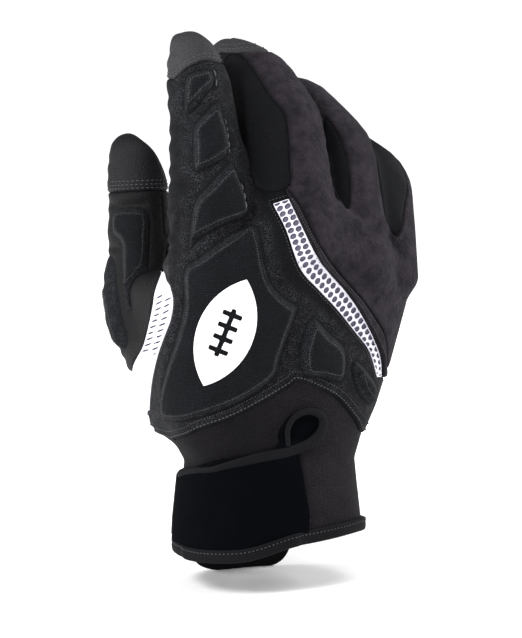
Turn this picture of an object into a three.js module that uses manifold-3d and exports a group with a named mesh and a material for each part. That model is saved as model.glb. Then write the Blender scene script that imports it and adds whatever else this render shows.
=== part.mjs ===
// A right-hand padded football glove, held up as if a hand filled it.
// Millimetres. The origin is the centre of the wrist opening, +Z runs from the wrist to the
// fingertips, -Y is the back of the hand, +Y the palm and -X the thumb side.
import * as THREE from 'three';
import { mergeVertices } from 'three/addons/utils/BufferGeometryUtils.js';
import Module from 'manifold-3d';

const wasm = await Module();
wasm.setup();

// Driving dimensions
const CLOTH = 2.0;             // thickness of the sewn panels
const GAP = 0.3;               // clearance that neighbouring pieces keep
const PAD = 2.6;               // height of the moulded pads over the cloth
const STRAP = 2.4;             // thickness of the wrist strap
const BINDING = 2.2;           // thickness of the band round the hem
const HEM_SLOPE = 0.08;        // the hem drops towards the thumb side, mm per mm
const HEM_BAND = 5.0;          // height of the bound hem
const CUFF_TOP = 46.0;         // height where the cuff meets the palm
const SIDES = { outer: { finger: 10, hand: 18 }, inner: { finger: 8, hand: 14 } };
const TIP_ROUND = 13.0;        // length over which a fingertip rounds off
const TIP_RINGS = [0.62, 0.93];              // sections of the rounding, in parts of that length
const ROOT_RINGS = [[-11, 0.65], [0, 1]];    // columns: place below the root, scale there
const BEND_RINGS = 5.0;        // sections this far on each side of a joint
const PALM_POWER = 2.5;        // squareness of the hand's section
const VIEW_TURN = 25;          // the outline plane is turned this many degrees to the thumb side
const VIEW_DIP = 8;            // and tipped down by this many
const VIEW_CENTRE = [-3.5, 96];   // the outlines are seen from an eye in front of this point
const VIEW_FAR = 1600;         // and this far from it, so a prism tapers towards the eye
const DEEP = 200;              // reach of a cutting prism on each side of the outline plane

// A row for each finger: its root in the hand, the turn of its section about its length, the
// sideways lean of the three bones (each added to the one before), the bend at the three
// joints, the three bone lengths, and half widths and half depths at six places along it.
// The web joins the thumb to the edge of the hand.
const FINGERS = {
  index: {
    root: [-26.5, -4, 116], roll: -22, lean: [-4.5, -2, 0], bend: [3, 8, 8], bones: [52, 28, 25],
    width: [18.4, 17.4, 15.6, 14.2, 12.8, 11.4], depth: [16.5, 16.0, 15.2, 14.0, 12.4, 10.2],
  },
  middle: {
    root: [7, -13, 126], roll: 10, lean: [1.8, 0, 0], bend: [14, 32, 24], bones: [55, 31, 26],
    width: [19.0, 19.0, 18.4, 16.6, 14.2, 11.8], depth: [19.0, 19.0, 18.6, 16.8, 14.2, 11.2],
  },
  ring: {
    root: [35, -11, 116], roll: 20, lean: [8, 0, 0], bend: [18, 34, 28], bones: [53, 30, 27],
    width: [15.6, 15.6, 15.2, 14.2, 12.8, 11.2], depth: [16.4, 16.4, 16.0, 14.6, 12.6, 10.4],
  },
  little: {
    root: [56.5, -2, 112], roll: 38, lean: [10, 0, 0], bend: [12, 38, 34], bones: [42, 26, 24],
    width: [13.2, 13.8, 13.6, 12.8, 11.6, 10.0], depth: [14.2, 14.6, 14.2, 13.0, 11.6, 9.6],
  },
  thumb: {
    root: [-27, 21, 58], roll: -65, lean: [-40, 28, 6], bend: [2, 6, -4], bones: [45, 41, 38],
    width: [17.0, 16.6, 15.2, 14.0, 14.2, 12.8], depth: [17.0, 16.8, 15.2, 13.6, 13.2, 11.0],
  },
};
const WEB = {
  root: [-33, 20, 60], roll: -88, lean: [-6, 0, 0], bend: [-9.6, 0, 0], bones: [20, 14, 24],
  width: [17, 21, 24, 23, 22, 20], depth: [14, 14, 13, 12, 10.5, 9],
};
const BLEND_LEAN = 13;         // a lean changes over this length on each side of a joint
const BLEND_BEND = 6.5;        // a bend changes over this length on each side of a joint

// Sections of the hand and cuff. Columns: height, centre x, centre y, half width, half depth
// and arch, the bow of the section towards the palm at its edges in 1/mm.
const HAND = [
  [-12, 0, 0, 44.2, 33.2, 0],
  [36, 0, 0, 38.8, 28, 0],
  [46, -0.5, 0, 43, 27, 0.0005],
  [58, 1, 0, 49, 26, 0.0012],
  [76, 4, 0, 54, 25, 0.0018],
  [100, 7.5, -3, 57.8, 24, 0.0024],
  [122, 11, -6, 56.5, 22, 0.003],
  [146, 12, -7, 52, 18, 0.0034],
];
// Height of the hand's finger end. Columns: x, height.
const KNUCKLE_LINE = [[-30, 122], [-8, 142], [10, 144], [25, 138], [45, 126], [60, 116]];
const TOP_START = 100;         // above this height the sections lean to the knuckle line
// Columns: part of the way to the knuckle line, scale of the section there.
const TOP_RINGS = [[0.5, 1], [0.78, 0.97], [0.92, 0.82], [1, 0.45]];

// Outlines on the outline plane, in mm: across from the origin, and up from it.
const BACK_PAD = [
  [-5.5, 136.5], [-12.5, 135], [-20.5, 130.5], [-30, 123], [-36, 118.5], [-37, 111], [-37, 102],
  [-40, 89], [-44.5, 74], [-47, 61], [-46.5, 52.5], [-36.5, 51.5], [-21.5, 56], [-8.5, 62],
  [2.5, 71], [5, 79], [9, 90.5], [13, 101.5], [7, 105], [1.5, 111], [-1.5, 119.5], [-3, 128.5],
];
const INDEX_PADS = [
  [[-36, 201], [-33.5, 203], [-27.5, 204.5], [-24, 203], [-24, 197.5], [-27.5, 193.5],
    [-32, 187.5], [-36.5, 185.5], [-37, 194.5]],
  [[-33, 178.5], [-29.5, 184], [-22.5, 190.5], [-20, 185], [-17, 173.5], [-18.5, 167],
    [-31.5, 160], [-33, 170]],
  [[-17, 164], [-26.5, 154], [-32.5, 146.5], [-34.5, 133], [-34.5, 126.5], [-29.5, 131.5],
    [-20.5, 136.5], [-10, 141], [-9.5, 146.5], [-12.5, 156.5]],
];
const THUMB_PADS = [
  [[-66.5, 143.5], [-53.5, 143.5], [-52, 132.5], [-53, 115], [-57, 105], [-61, 99], [-62.5, 104],
    [-64, 118.5], [-64.5, 128.5], [-68, 134]],
  [[-70.5, 122.5], [-67.5, 121], [-66, 108.5], [-63.5, 94.5], [-61.5, 88], [-63, 82.5],
    [-68, 86.5], [-71, 96.5], [-72, 108]],
];
const WRIST_PADS = [
  [[18.5, 96.5], [26, 90], [33, 82.5], [32, 69.5], [22, 70.5], [15, 72], [13.5, 82]],
  [[36, 75], [38.5, 77.5], [45, 70.5], [47, 64.5], [44.5, 58.5], [38.5, 64.5]],
];
const BACK_MESH = [
  [1.5, 146.5], [7.5, 134.5], [13.5, 118], [22, 108.5], [30, 100], [38, 90], [44, 82],
  [47.5, 70.5], [49.5, 70.5], [49, 79], [46, 87.5], [40.5, 98], [34, 107.5], [25, 117.5],
  [21.5, 122.5], [14, 137.5], [8.5, 148.5],
];
const SUEDE_EDGE = [
  [51.5, 70.5], [50.5, 86.5], [47.5, 94], [40.5, 104.5], [30, 116.5], [22, 128], [14, 144],
  [9.5, 150.5], [6.5, 154],
];
const SUEDE_REACH = [[-60, 154], [-60, 260], [150, 260], [150, 70.5]];
const THUMB_MESH = [
  [-46.5, 117.5], [-50, 108.5], [-51.5, 99.5], [-55, 85], [-59, 73.5], [-60, 64], [-52.5, 61.5],
  [-51.5, 69.5], [-49, 79.5], [-46, 88], [-43, 95.5], [-42, 103.5], [-43.5, 110],
];
// The thumb's back panel lies to the left of this edge, and the back of the hand to its right.
const THUMB_EDGE = [...THUMB_MESH.slice(0, 6), [-60, 30], [-200, 30], [-200, 300], [0, 300],
  [0, 117.5]];
const CUFF_HUMP = [
  [-60, 40], [-60, 45.5], [-36.5, 46.5], [-30, 48.5], [-17, 53], [-4, 59.5], [9, 67.5],
  [12.5, 69], [20, 66.5], [30, 61], [37.5, 52], [42, 46], [60, 46], [60, 40],
];
const STRAP_FRONT = [
  [-60, 29], [-37, 31], [-23.5, 34.5], [-12.5, 36.5], [-1.5, 38.5], [4, 41.5], [4.5, 47],
  [9, 53.5], [13.5, 56], [17.5, 56.5], [22, 54.5], [24, 51], [23, 46.5], [19.5, 43], [13.5, 38],
  [15, 26], [17.5, 11], [6, 8], [-8, 4.5], [-24, 2.5], [-42, 3.5], [-60, 3.5],
];
const PULL_TAB = [
  [-32.5, 1], [-31.5, -8], [-25.5, -11], [-15, -12], [-5, -11], [4, -8], [7, -3], [7, 1],
];
// The mark on the back is a plain football, an ellipse with pointed ends and a lace.
const MARK = { centre: [-19, 90], length: 50, width: 25, lean: 68, height: 1.0, sides: 8 };
const LACE = { length: 22, width: 2.2, bars: 4, barLength: 9, barWidth: 2.2 };

// Seams along the fingers. Columns: finger, side (-1 thumb side, +1 far side), start and end
// of the side panel along the finger.
const SIDE_PANELS = [
  ['index', 1, 42, 88],
  ['middle', -1, 34, 96],
  ['ring', -1, 34, 94],
  ['little', -1, 30, 78],
];
const SIDE_INNER = 0.42;       // a side panel starts at this part of the half width
const SIDE_BACK = 0.74;        // and reaches this part of the half depth towards the back
const SIDE_PALM = 0.4;         // and this part towards the palm
// Fingertip caps. Columns: finger, length of the cap.
const CAPS = { index: 15, middle: 15, thumb: 26 };

// Holes of the two white mesh strips
const BACK_HOLES = { pitch: 8.0, rows: 2, length: 4.0, width: 2.2 };
const THUMB_HOLES = { pitch: 7.0, length: 5.0, width: 1.8, lean: 25 };
const BACK_MESH_LEFT = 8;      // so many points of BACK_MESH lie on its left edge
const THUMB_MESH_LEFT = 6;     // and so many of THUMB_MESH on its left edge

// The strap runs round the thumb side of the cuff, between two heights on the palm side.
const STRAP_BEHIND = { end: 18, low: 8.5, high: 31 };
const STRAP_SEAM = 0;          // y where the strap's front outline takes over
const STRAP_LAP = 2;           // the two parts of the strap overlap by this much
const TAB = { thickness: 2.0, behind: 4 };   // the pull tab hangs behind this y

// Where the panels meet
const SIDE_SEAM = [[40, 3], [95, 3], [124, -8], [150, -8]];   // columns: height, y of the seam
const ROOT_REACH = 20;         // a finger's zone starts this far below its root
const TIP_REACH = 6;           // and ends this far past its tip
const BACK_REACH = 3;          // and reaches this much further out at the back
const FINGER_MARGIN = 1;       // how far a long finger's zone stands out at its sides
const THUMB_MARGIN = 4;        // and the thumb's zone
const WEB_MARGIN = [0, 6, 8, 8];
const CAP_MARGIN = 4;
const SIDE_MARGIN = 3;
const PAD_MARGIN = 6;
const PAD_SIDES = { index: -2, thumb: -1 };  // the pads stop short of the finger's side seam
const SKIN = 0.05;             // a side panel takes in this much over its own finger
const REACH = 1.5;             // the thumb's cloth is what lies this close to its own form
const LONG_FINGERS = ['index', 'middle', 'ring', 'little'];
const SLEEVE_STEP = 20;        // spacing of a sleeve's sections along the finger
const AXIS_STEP = 1;           // spacing of the steps that follow a finger's axis
const KNUCKLE_LIFT = 7;        // the hand's end rises this far over the knuckle line
const KNUCKLE_MIDDLE = 10;     // x of the knuckle line's top
const INNER_REACH = 30;        // the hollow runs this far down, past the hem
const WIDE = 120;              // half size of a box that takes in the whole glove
const MERGE = 1e-4;            // points closer than this are one
const MITRE = 0.5;             // a sharp corner's point is held back to twice the distance

const rad = THREE.MathUtils.degToRad;
const clamp = THREE.MathUtils.clamp;

// Materials: colour, roughness
const LOOKS = {
  knit: [0x24262a, 0.85],
  suede: [0x383337, 0.9],
  leather: [0x1d1e22, 0.5],
  cap: [0x4c4d51, 0.6],
  mesh: [0xf2f2f4, 0.6],
  neoprene: [0x2e2b30, 0.8],
  pad: [0x202226, 0.8],
  binding: [0x191a1e, 0.5],
  mark: [0xf5f5f5, 0.4],
};
const materials = {};
for (const [name, [color, roughness]] of Object.entries(LOOKS)) {
  materials[name] = new THREE.MeshStandardMaterial({ name, color, roughness, metalness: 0 });
}

// Tables and curves
function lookUp(x, xs, ys) {
  if (x <= xs[0]) return ys[0];
  for (let i = 1; i < xs.length; i += 1) {
    if (x <= xs[i]) return ys[i - 1] + (ys[i] - ys[i - 1]) * (x - xs[i - 1]) / (xs[i] - xs[i - 1]);
  }
  return ys[ys.length - 1];
}

function ease(x) {
  const t = clamp(x, 0, 1);
  return t * t * (3 - 2 * t);
}

function handAt(z) {
  const heights = HAND.map((row) => row[0]);
  const [x, y, width, depth, arch] = [1, 2, 3, 4, 5].map(
    (column) => lookUp(z, heights, HAND.map((row) => row[column])));
  return { x, y, width, depth, arch };
}

function knuckleHeight(x) {
  return lookUp(x, KNUCKLE_LINE.map((row) => row[0]), KNUCKLE_LINE.map((row) => row[1]));
}

// The finger's axis: centre, across, back and ahead directions at a distance s from its root.
function fingerAxis(finger) {
  const [first, second] = finger.bones;
  const roll = rad(finger.roll);
  const across = new THREE.Vector3(Math.cos(roll), Math.sin(roll), 0);
  const back = new THREE.Vector3(Math.sin(roll), -Math.cos(roll), 0);
  const up = new THREE.Vector3(0, 0, 1);
  const frameAt = (s) => {
    const lean = rad(finger.lean[0]
      + finger.lean[1] * ease((s - first + BLEND_LEAN) / (2 * BLEND_LEAN))
      + finger.lean[2] * ease((s - first - second + BLEND_BEND) / (2 * BLEND_BEND)));
    const bend = rad(finger.bend[0]
      + finger.bend[1] * ease((s - first + BLEND_BEND) / (2 * BLEND_BEND))
      + finger.bend[2] * ease((s - first - second + BLEND_BEND) / (2 * BLEND_BEND)));
    const straight = up.clone().multiplyScalar(Math.cos(lean))
      .addScaledVector(across, Math.sin(lean));
    const side = across.clone().multiplyScalar(Math.cos(lean))
      .addScaledVector(up, -Math.sin(lean));
    const ahead = straight.clone().multiplyScalar(Math.cos(bend))
      .addScaledVector(back, -Math.sin(bend));
    const away = back.clone().multiplyScalar(Math.cos(bend))
      .addScaledVector(straight, Math.sin(bend));
    return { side, ahead, away };
  };
  return (s) => {
    const centre = new THREE.Vector3(...finger.root);
    const count = Math.max(1, Math.round(Math.abs(s) / AXIS_STEP));
    for (let i = 0; i < count; i += 1) {
      centre.addScaledVector(frameAt((i + 0.5) * s / count).ahead, s / count);
    }
    return { centre, ...frameAt(s) };
  };
}

const fingerLength = (finger) => finger.bones.reduce((sum, bone) => sum + bone, 0);

function fingerSize(finger, s) {
  const [a, b, c] = finger.bones;
  const places = [0, a / 2, a, a + b / 2, a + b, a + b + c];
  return { width: lookUp(s, places, finger.width), depth: lookUp(s, places, finger.depth) };
}

// Solids from closed meshes
function solid(geometry) {
  const bare = geometry.index ? geometry.toNonIndexed() : geometry.clone();
  bare.deleteAttribute('normal');
  bare.deleteAttribute('uv');
  const merged = mergeVertices(bare, MERGE);
  return new wasm.Manifold(new wasm.Mesh({
    numProp: 3,
    vertProperties: new Float32Array(merged.attributes.position.array),
    triVerts: new Uint32Array(merged.index.array),
  }));
}

function loft(rings) {
  const sides = rings[0].length;
  const points = [];
  const faces = [];
  for (const ring of rings) points.push(...ring);
  for (let r = 0; r + 1 < rings.length; r += 1) {
    for (let i = 0; i < sides; i += 1) {
      const j = (i + 1) % sides;
      const [a, b, c, d] = [r * sides + i, r * sides + j, (r + 1) * sides + j, (r + 1) * sides + i];
      faces.push([a, b, c], [a, c, d]);
    }
  }
  for (const [r, flip] of [[0, true], [rings.length - 1, false]]) {
    const middle = points.length;
    const sum = rings[r].reduce((total, p) => total.add(p), new THREE.Vector3());
    points.push(sum.divideScalar(sides));
    for (let i = 0; i < sides; i += 1) {
      const j = (i + 1) % sides;
      faces.push(flip ? [r * sides + j, r * sides + i, middle] : [r * sides + i, r * sides + j, middle]);
    }
  }
  const volume = faces.reduce((sum, [a, b, c]) => sum
    + points[a].dot(new THREE.Vector3().crossVectors(points[b], points[c])), 0);
  const geometry = new THREE.BufferGeometry();
  const array = points.flatMap((p) => p.toArray());
  geometry.setAttribute('position', new THREE.Float32BufferAttribute(array, 3));
  geometry.setIndex(faces.flatMap(([a, b, c]) => (volume < 0 ? [a, c, b] : [a, b, c])));
  return solid(geometry);
}

function block(low, high) {
  const size = high.map((value, i) => value - low[i]);
  const geometry = new THREE.BoxGeometry(...size);
  geometry.translate(...low.map((value, i) => value + size[i] / 2));
  return solid(geometry);
}

// The outline plane: seen from the back of the hand, turned to the thumb side and tipped.
const turn = rad(VIEW_TURN);
const dip = rad(VIEW_DIP);
const sight = new THREE.Vector3(
  Math.sin(turn) * Math.cos(dip), Math.cos(turn) * Math.cos(dip), -Math.sin(dip));
const rightward = new THREE.Vector3(Math.cos(turn), -Math.sin(turn), 0);
const upward = new THREE.Vector3().crossVectors(rightward, sight);
const outlinePlane = new THREE.Matrix4().makeBasis(rightward, upward, sight.clone().negate());

function prism(points) {
  const shape = new THREE.Shape(points.map(([x, y]) => new THREE.Vector2(x, y)));
  const geometry = new THREE.ExtrudeGeometry(shape, { depth: 2 * DEEP, bevelEnabled: false });
  geometry.translate(-VIEW_CENTRE[0], -VIEW_CENTRE[1], -DEEP);
  const place = geometry.attributes.position;
  for (let i = 0; i < place.count; i += 1) {
    const taper = (VIEW_FAR - place.getZ(i)) / VIEW_FAR;
    place.setXY(i, place.getX(i) * taper, place.getY(i) * taper);
  }
  geometry.translate(...VIEW_CENTRE, 0);
  geometry.applyMatrix4(outlinePlane);
  return solid(geometry);
}

// Moves each side of a closed outline outwards by a distance, with mitred corners.
function grow(points, distance) {
  const sense = Math.sign(THREE.ShapeUtils.area(points.map(([x, y]) => new THREE.Vector2(x, y))));
  const count = points.length;
  return points.map(([x, y], i) => {
    const before = points[(i + count - 1) % count];
    const after = points[(i + 1) % count];
    const into = new THREE.Vector2(x - before[0], y - before[1]).normalize();
    const out = new THREE.Vector2(after[0] - x, after[1] - y).normalize();
    const normal = new THREE.Vector2(into.y + out.y, -into.x - out.x).normalize();
    const reach = distance / Math.max(MITRE, normal.dot(new THREE.Vector2(into.y, -into.x)));
    return [x + sense * normal.x * reach, y + sense * normal.y * reach];
  });
}

// The hand without its fingers, its surface moved out by an amount.
function handBody(out, bottom = HAND[0][0], sides = SIDES.outer.hand) {
  const ringAt = (heightAt, scale, table) => {
    const ring = [];
    for (let i = 0; i < sides; i += 1) {
      const angle = 2 * Math.PI * i / sides;
      const [c, s] = [Math.cos(angle), Math.sin(angle)];
      const across = (table.width + out) * scale * Math.sign(c) * Math.abs(c) ** (2 / PALM_POWER);
      const deep = (table.depth + out) * scale * Math.sign(s) * Math.abs(s) ** (2 / PALM_POWER);
      const x = table.x + across;
      ring.push(new THREE.Vector3(x, table.y + deep + table.arch * across * across, heightAt(x)));
    }
    return ring;
  };
  const rings = [ringAt(() => bottom, 1, handAt(bottom))];
  for (const [height] of HAND) {
    if (height > bottom && height <= TOP_START) rings.push(ringAt(() => height, 1, handAt(height)));
  }
  for (const [part, scale] of TOP_RINGS) {
    const table = handAt(TOP_START + (knuckleHeight(KNUCKLE_MIDDLE) - TOP_START) * part);
    rings.push(ringAt(
      (x) => TOP_START + (knuckleHeight(x) + KNUCKLE_LIFT + out - TOP_START) * part,
      scale, table));
  }
  return loft(rings);
}

// A finger with a rounded tip, its surface moved out by an amount.
function fingerBody(finger, out, sides = SIDES.outer.finger) {
  const axis = fingerAxis(finger);
  const total = fingerLength(finger) + out;
  const [a, b] = finger.bones;
  const ringAt = (s, scale) => {
    const { centre, side, away } = axis(s);
    const size = fingerSize(finger, s);
    const ring = [];
    for (let i = 0; i < sides; i += 1) {
      const angle = 2 * Math.PI * (i + 0.5) / sides;
      ring.push(centre.clone()
        .addScaledVector(side, (size.width + out) * scale * Math.cos(angle))
        .addScaledVector(away, (size.depth + out) * scale * Math.sin(angle)));
    }
    return ring;
  };
  const rings = ROOT_RINGS.map(([s, scale]) => ringAt(s, scale));
  const bends = [a, a + b].flatMap((s) => [s - BEND_RINGS, s + BEND_RINGS]);
  for (const s of bends) rings.push(ringAt(s, 1));
  rings.push(ringAt(total - TIP_ROUND, 1));
  for (const t of TIP_RINGS) rings.push(ringAt(total - TIP_ROUND * (1 - t), Math.sqrt(1 - t * t)));
  return loft(rings);
}

// The whole outside or inside form, its surface moved out by an amount.
const kept = new Map();
function handForm(out, bottom = HAND[0][0], sides = SIDES.outer) {
  if (!kept.has(out)) {
    let form = handBody(out, bottom, sides.hand);
    for (const finger of [...Object.values(FINGERS), WEB]) {
      form = form.add(fingerBody(finger, out, sides.finger));
    }
    kept.set(out, form);
  }
  return kept.get(out);
}

// A box-like sleeve along a stretch of a finger, with its corners in parts of the half width
// and half depth plus a margin.
function sleeve(finger, from, to, low, high, margin) {
  const axis = fingerAxis(finger);
  const steps = Math.max(2, Math.round((to - from) / SLEEVE_STEP));
  const rings = [];
  for (let i = 0; i <= steps; i += 1) {
    const s = from + (to - from) * i / steps;
    const { centre, side, away } = axis(s);
    const size = fingerSize(finger, s);
    const xs = [size.width * low[0] - margin[0], size.width * high[0] + margin[1]];
    const ys = [size.depth * low[1] - margin[2], size.depth * high[1] + margin[3]];
    rings.push([[0, 0], [1, 0], [1, 1], [0, 1]].map(([m, n]) => centre.clone()
      .addScaledVector(side, xs[m]).addScaledVector(away, ys[n])));
  }
  return loft(rings);
}

// Keeps the largest of the separate bodies that a cut leaves.
function largest(piece) {
  const bodies = piece.decompose();
  bodies.sort((a, b) => b.volume() - a.volume());
  return bodies[0];
}

const together = (solids) => solids.reduce((sum, item) => sum.add(item));

// Zones that divide the cloth

// The back half of each finger, the hand's back, or both, reaching out by a margin.
function fingerBackZone(finger, margin, out = 0) {
  return sleeve(finger, -ROOT_REACH, fingerLength(finger) + TIP_REACH, [-1, 0], [1, 1],
    [margin + out, margin + out, out, margin + out + BACK_REACH]);
}
function handBackZone(out = 0) {
  return loft(SIDE_SEAM.map(([z, y]) => [[-WIDE, -WIDE], [WIDE, -WIDE], [WIDE, y + out],
    [-WIDE, y + out]].map(([px, py]) => new THREE.Vector3(px, py, z))));
}
// Near the web the thumb's back ends at the middle of the web.
function thumbBackZone(out = 0) {
  const web = sleeve(WEB, out - ROOT_REACH, fingerLength(WEB) + TIP_REACH - out, [-1, -1], [1, 1],
    WEB_MARGIN.map((margin) => margin - out));
  return fingerBackZone(FINGERS.thumb, THUMB_MARGIN, out).subtract(web)
    .add(fingerBackZone(WEB, THUMB_MARGIN, out));
}
const backZone = (out) => together([handBackZone(out), thumbBackZone(out),
  ...LONG_FINGERS.map((name) => fingerBackZone(FINGERS[name], FINGER_MARGIN, out))]);

function cuffZone(out) {
  const low = block([-WIDE, -WIDE, -WIDE], [WIDE, WIDE, CUFF_TOP + out]);
  const back = block([-WIDE, -WIDE, 0], [WIDE, SIDE_SEAM[0][1], WIDE]);
  return low.add(prism(grow(CUFF_HUMP, out)).intersect(back));
}

const outer = handForm(0);
const inner = handForm(-CLOTH, -INNER_REACH, SIDES.inner);
// Everything below the sloping hem, moved up by a lift.
function hemCut(lift) {
  const corners = [[-WIDE, -WIDE], [WIDE, -WIDE], [WIDE, WIDE], [-WIDE, WIDE]];
  const bottom = corners.map(([x, y]) => new THREE.Vector3(x, y, -WIDE));
  const top = corners.map(([x, y]) => new THREE.Vector3(x, y, HEM_SLOPE * x + lift));
  return loft([bottom, top]);
}
const cloth = outer.subtract(inner).subtract(hemCut(0));

const nodes = [];
function addNode(name, piece, look) {
  nodes.push({ name, piece: largest(piece), look });
}

// Cuff, thumb and hand
const wristCuff = cloth.intersect(cuffZone(0));
let aboveCuff = cloth.subtract(cuffZone(GAP));

const thumbMeshZone = (out) => prism(grow(THUMB_MESH, out))
  .intersect(handBackZone(out).add(thumbBackZone(out)));
const thumbMesh = aboveCuff.intersect(thumbMeshZone(0));
aboveCuff = aboveCuff.subtract(thumbMeshZone(GAP));

const thumbReach = fingerBody(FINGERS.thumb, REACH).add(fingerBody(WEB, REACH));
const besideThumb = (out) => thumbBackZone(out).subtract(prism(grow(THUMB_EDGE, -out)));
const thumbCloth = aboveCuff.intersect(thumbReach).subtract(handBody(GAP))
  .subtract(besideThumb(GAP));
let handCloth = aboveCuff.subtract(thumbReach.subtract(handBody(0)).subtract(besideThumb(0)));

// Thumb panels
function capZone(name, out) {
  const total = fingerLength(FINGERS[name]);
  return sleeve(FINGERS[name], total - CAPS[name] - out, total + TIP_REACH, [-1, -1], [1, 1],
    [CAP_MARGIN, CAP_MARGIN, CAP_MARGIN, CAP_MARGIN]);
}
const thumbLower = thumbCloth.subtract(capZone('thumb', GAP));
addNode('thumb_tip', thumbCloth.intersect(capZone('thumb', 0)), 'leather');
addNode('thumb_back_panel', thumbLower.intersect(thumbBackZone()), 'knit');
addNode('thumb_palm_panel', thumbLower.subtract(thumbBackZone(GAP)), 'suede');

// Side panels between the fingers
for (const [name, side, from, to] of SIDE_PANELS) {
  const finger = FINGERS[name];
  const zone = (out) => {
    const low = side > 0 ? [SIDE_INNER, -SIDE_PALM] : [-1, -SIDE_PALM];
    const high = side > 0 ? [1, SIDE_BACK] : [-SIDE_INNER, SIDE_BACK];
    const margin = side > 0 ? [out, SIDE_MARGIN, out, out] : [SIDE_MARGIN, out, out, out];
    return sleeve(finger, from - out, to + out, low, high, margin)
      .intersect(fingerBody(finger, SKIN + out));
  };
  addNode(`${name}_side_panel`, handCloth.intersect(zone(0)), 'leather');
  handCloth = handCloth.subtract(zone(GAP));
}

// Fingertip caps
for (const name of ['index', 'middle']) {
  addNode(`${name}_fingertip_cap`, handCloth.intersect(capZone(name, 0)), 'cap');
  handCloth = handCloth.subtract(capZone(name, GAP));
}

// Palm, back of the hand, mesh strip, piping and suede
addNode('palm_panel', handCloth.subtract(backZone(GAP)), 'suede');
const backCloth = handCloth.intersect(backZone(0));
const suedeOutline = [...SUEDE_EDGE, ...SUEDE_REACH];
const suedeBack = together([handBackZone(0), ...['middle', 'ring', 'little'].map(
  (name) => fingerBackZone(FINGERS[name], FINGER_MARGIN))]);
const suedeZone = (out) => prism(grow(suedeOutline, out)).intersect(suedeBack);
const backMesh = backCloth.intersect(prism(BACK_MESH));
const pipeOutline = [...SUEDE_EDGE.slice(0, -1), ...BACK_MESH.slice(BACK_MESH_LEFT).reverse()];
const pipeZone = (out) => prism(grow(pipeOutline, out));
addNode('knuckle_panel', backCloth.intersect(suedeZone(0)), 'suede');
const leftOfSuede = backCloth.subtract(suedeZone(GAP));
const pipeCloth = leftOfSuede.intersect(pipeZone(0)).subtract(prism(grow(BACK_MESH, GAP)));
addNode('back_piping', pipeCloth, 'leather');
addNode('back_panel', leftOfSuede.subtract(pipeZone(GAP)).subtract(prism(grow(BACK_MESH, GAP))),
  'knit');

// Holes through the mesh strips: diamonds in rows along each strip
function diamond([x, y], length, width, angle) {
  const [c, s] = [Math.cos(angle), Math.sin(angle)];
  const corners = [[length / 2, 0], [0, width / 2], [-length / 2, 0], [0, -width / 2]];
  return corners.map(([px, py]) => [x + px * c - py * s, y + px * s + py * c]);
}
function stripSides(left, right) {
  const side = (points) => new THREE.CatmullRomCurve3(
    points.map(([x, y]) => new THREE.Vector3(x, y, 0)), false, 'centripetal');
  return [side(left), side(right)];
}
function backMeshHoles() {
  const [left, right] = stripSides(BACK_MESH.slice(0, BACK_MESH_LEFT),
    BACK_MESH.slice(BACK_MESH_LEFT).reverse());
  const count = Math.floor(left.getLength() / BACK_HOLES.pitch);
  const holes = [];
  for (let i = 1; i < count - 1; i += 1) {
    for (let row = 0; row < BACK_HOLES.rows; row += 1) {
      const t = (i + row / BACK_HOLES.rows) / count;
      const across = (row + 1) / (BACK_HOLES.rows + 1);
      const point = left.getPointAt(t).lerp(right.getPointAt(t), across);
      const way = left.getTangentAt(t);
      holes.push(diamond([point.x, point.y], BACK_HOLES.length, BACK_HOLES.width,
        Math.atan2(way.y, way.x)));
    }
  }
  return holes;
}
function thumbMeshHoles() {
  const [left, right] = stripSides(THUMB_MESH.slice(0, THUMB_MESH_LEFT),
    [THUMB_MESH[0], ...THUMB_MESH.slice(THUMB_MESH_LEFT).reverse()]);
  const count = Math.floor(left.getLength() / THUMB_HOLES.pitch);
  const holes = [];
  for (let i = 2; i < count; i += 1) {
    const t = i / count;
    const point = left.getPointAt(t).lerp(right.getPointAt(t), 0.5);
    holes.push(diamond([point.x, point.y], THUMB_HOLES.length, THUMB_HOLES.width,
      rad(THUMB_HOLES.lean)));
  }
  return holes;
}
const pierce = (strip, holes) => strip.subtract(together(holes.map((hole) => prism(hole))));
addNode('back_mesh_strip', pierce(backMesh, backMeshHoles()), 'mesh');
addNode('thumb_mesh_strip', pierce(largest(thumbMesh), thumbMeshHoles()), 'mesh');

// Moulded pads on the back of the hand, the index finger, the thumb and the wrist
const padLayer = handForm(GAP + PAD).subtract(handForm(GAP));
const padBack = handBackZone(0);
addNode('back_pad', padLayer.intersect(prism(BACK_PAD).intersect(padBack)), 'pad');
const indexPadZone = fingerBackZone(FINGERS.index, PAD_MARGIN, PAD_SIDES.index).add(padBack);
INDEX_PADS.forEach((points, i) => {
  addNode(`index_pad_${i + 1}`, padLayer.intersect(prism(points).intersect(indexPadZone)), 'pad');
});
const thumbPadLayer = padLayer.intersect(fingerBody(FINGERS.thumb, GAP + PAD + REACH));
THUMB_PADS.forEach((points, i) => {
  addNode(`thumb_pad_${i + 1}`, thumbPadLayer.intersect(
    prism(points).intersect(fingerBackZone(FINGERS.thumb, PAD_MARGIN, PAD_SIDES.thumb))), 'pad');
});
WRIST_PADS.forEach((points, i) => {
  addNode(`wrist_pad_${i + 1}`, padLayer.intersect(prism(points).intersect(padBack)), 'pad');
});

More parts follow.
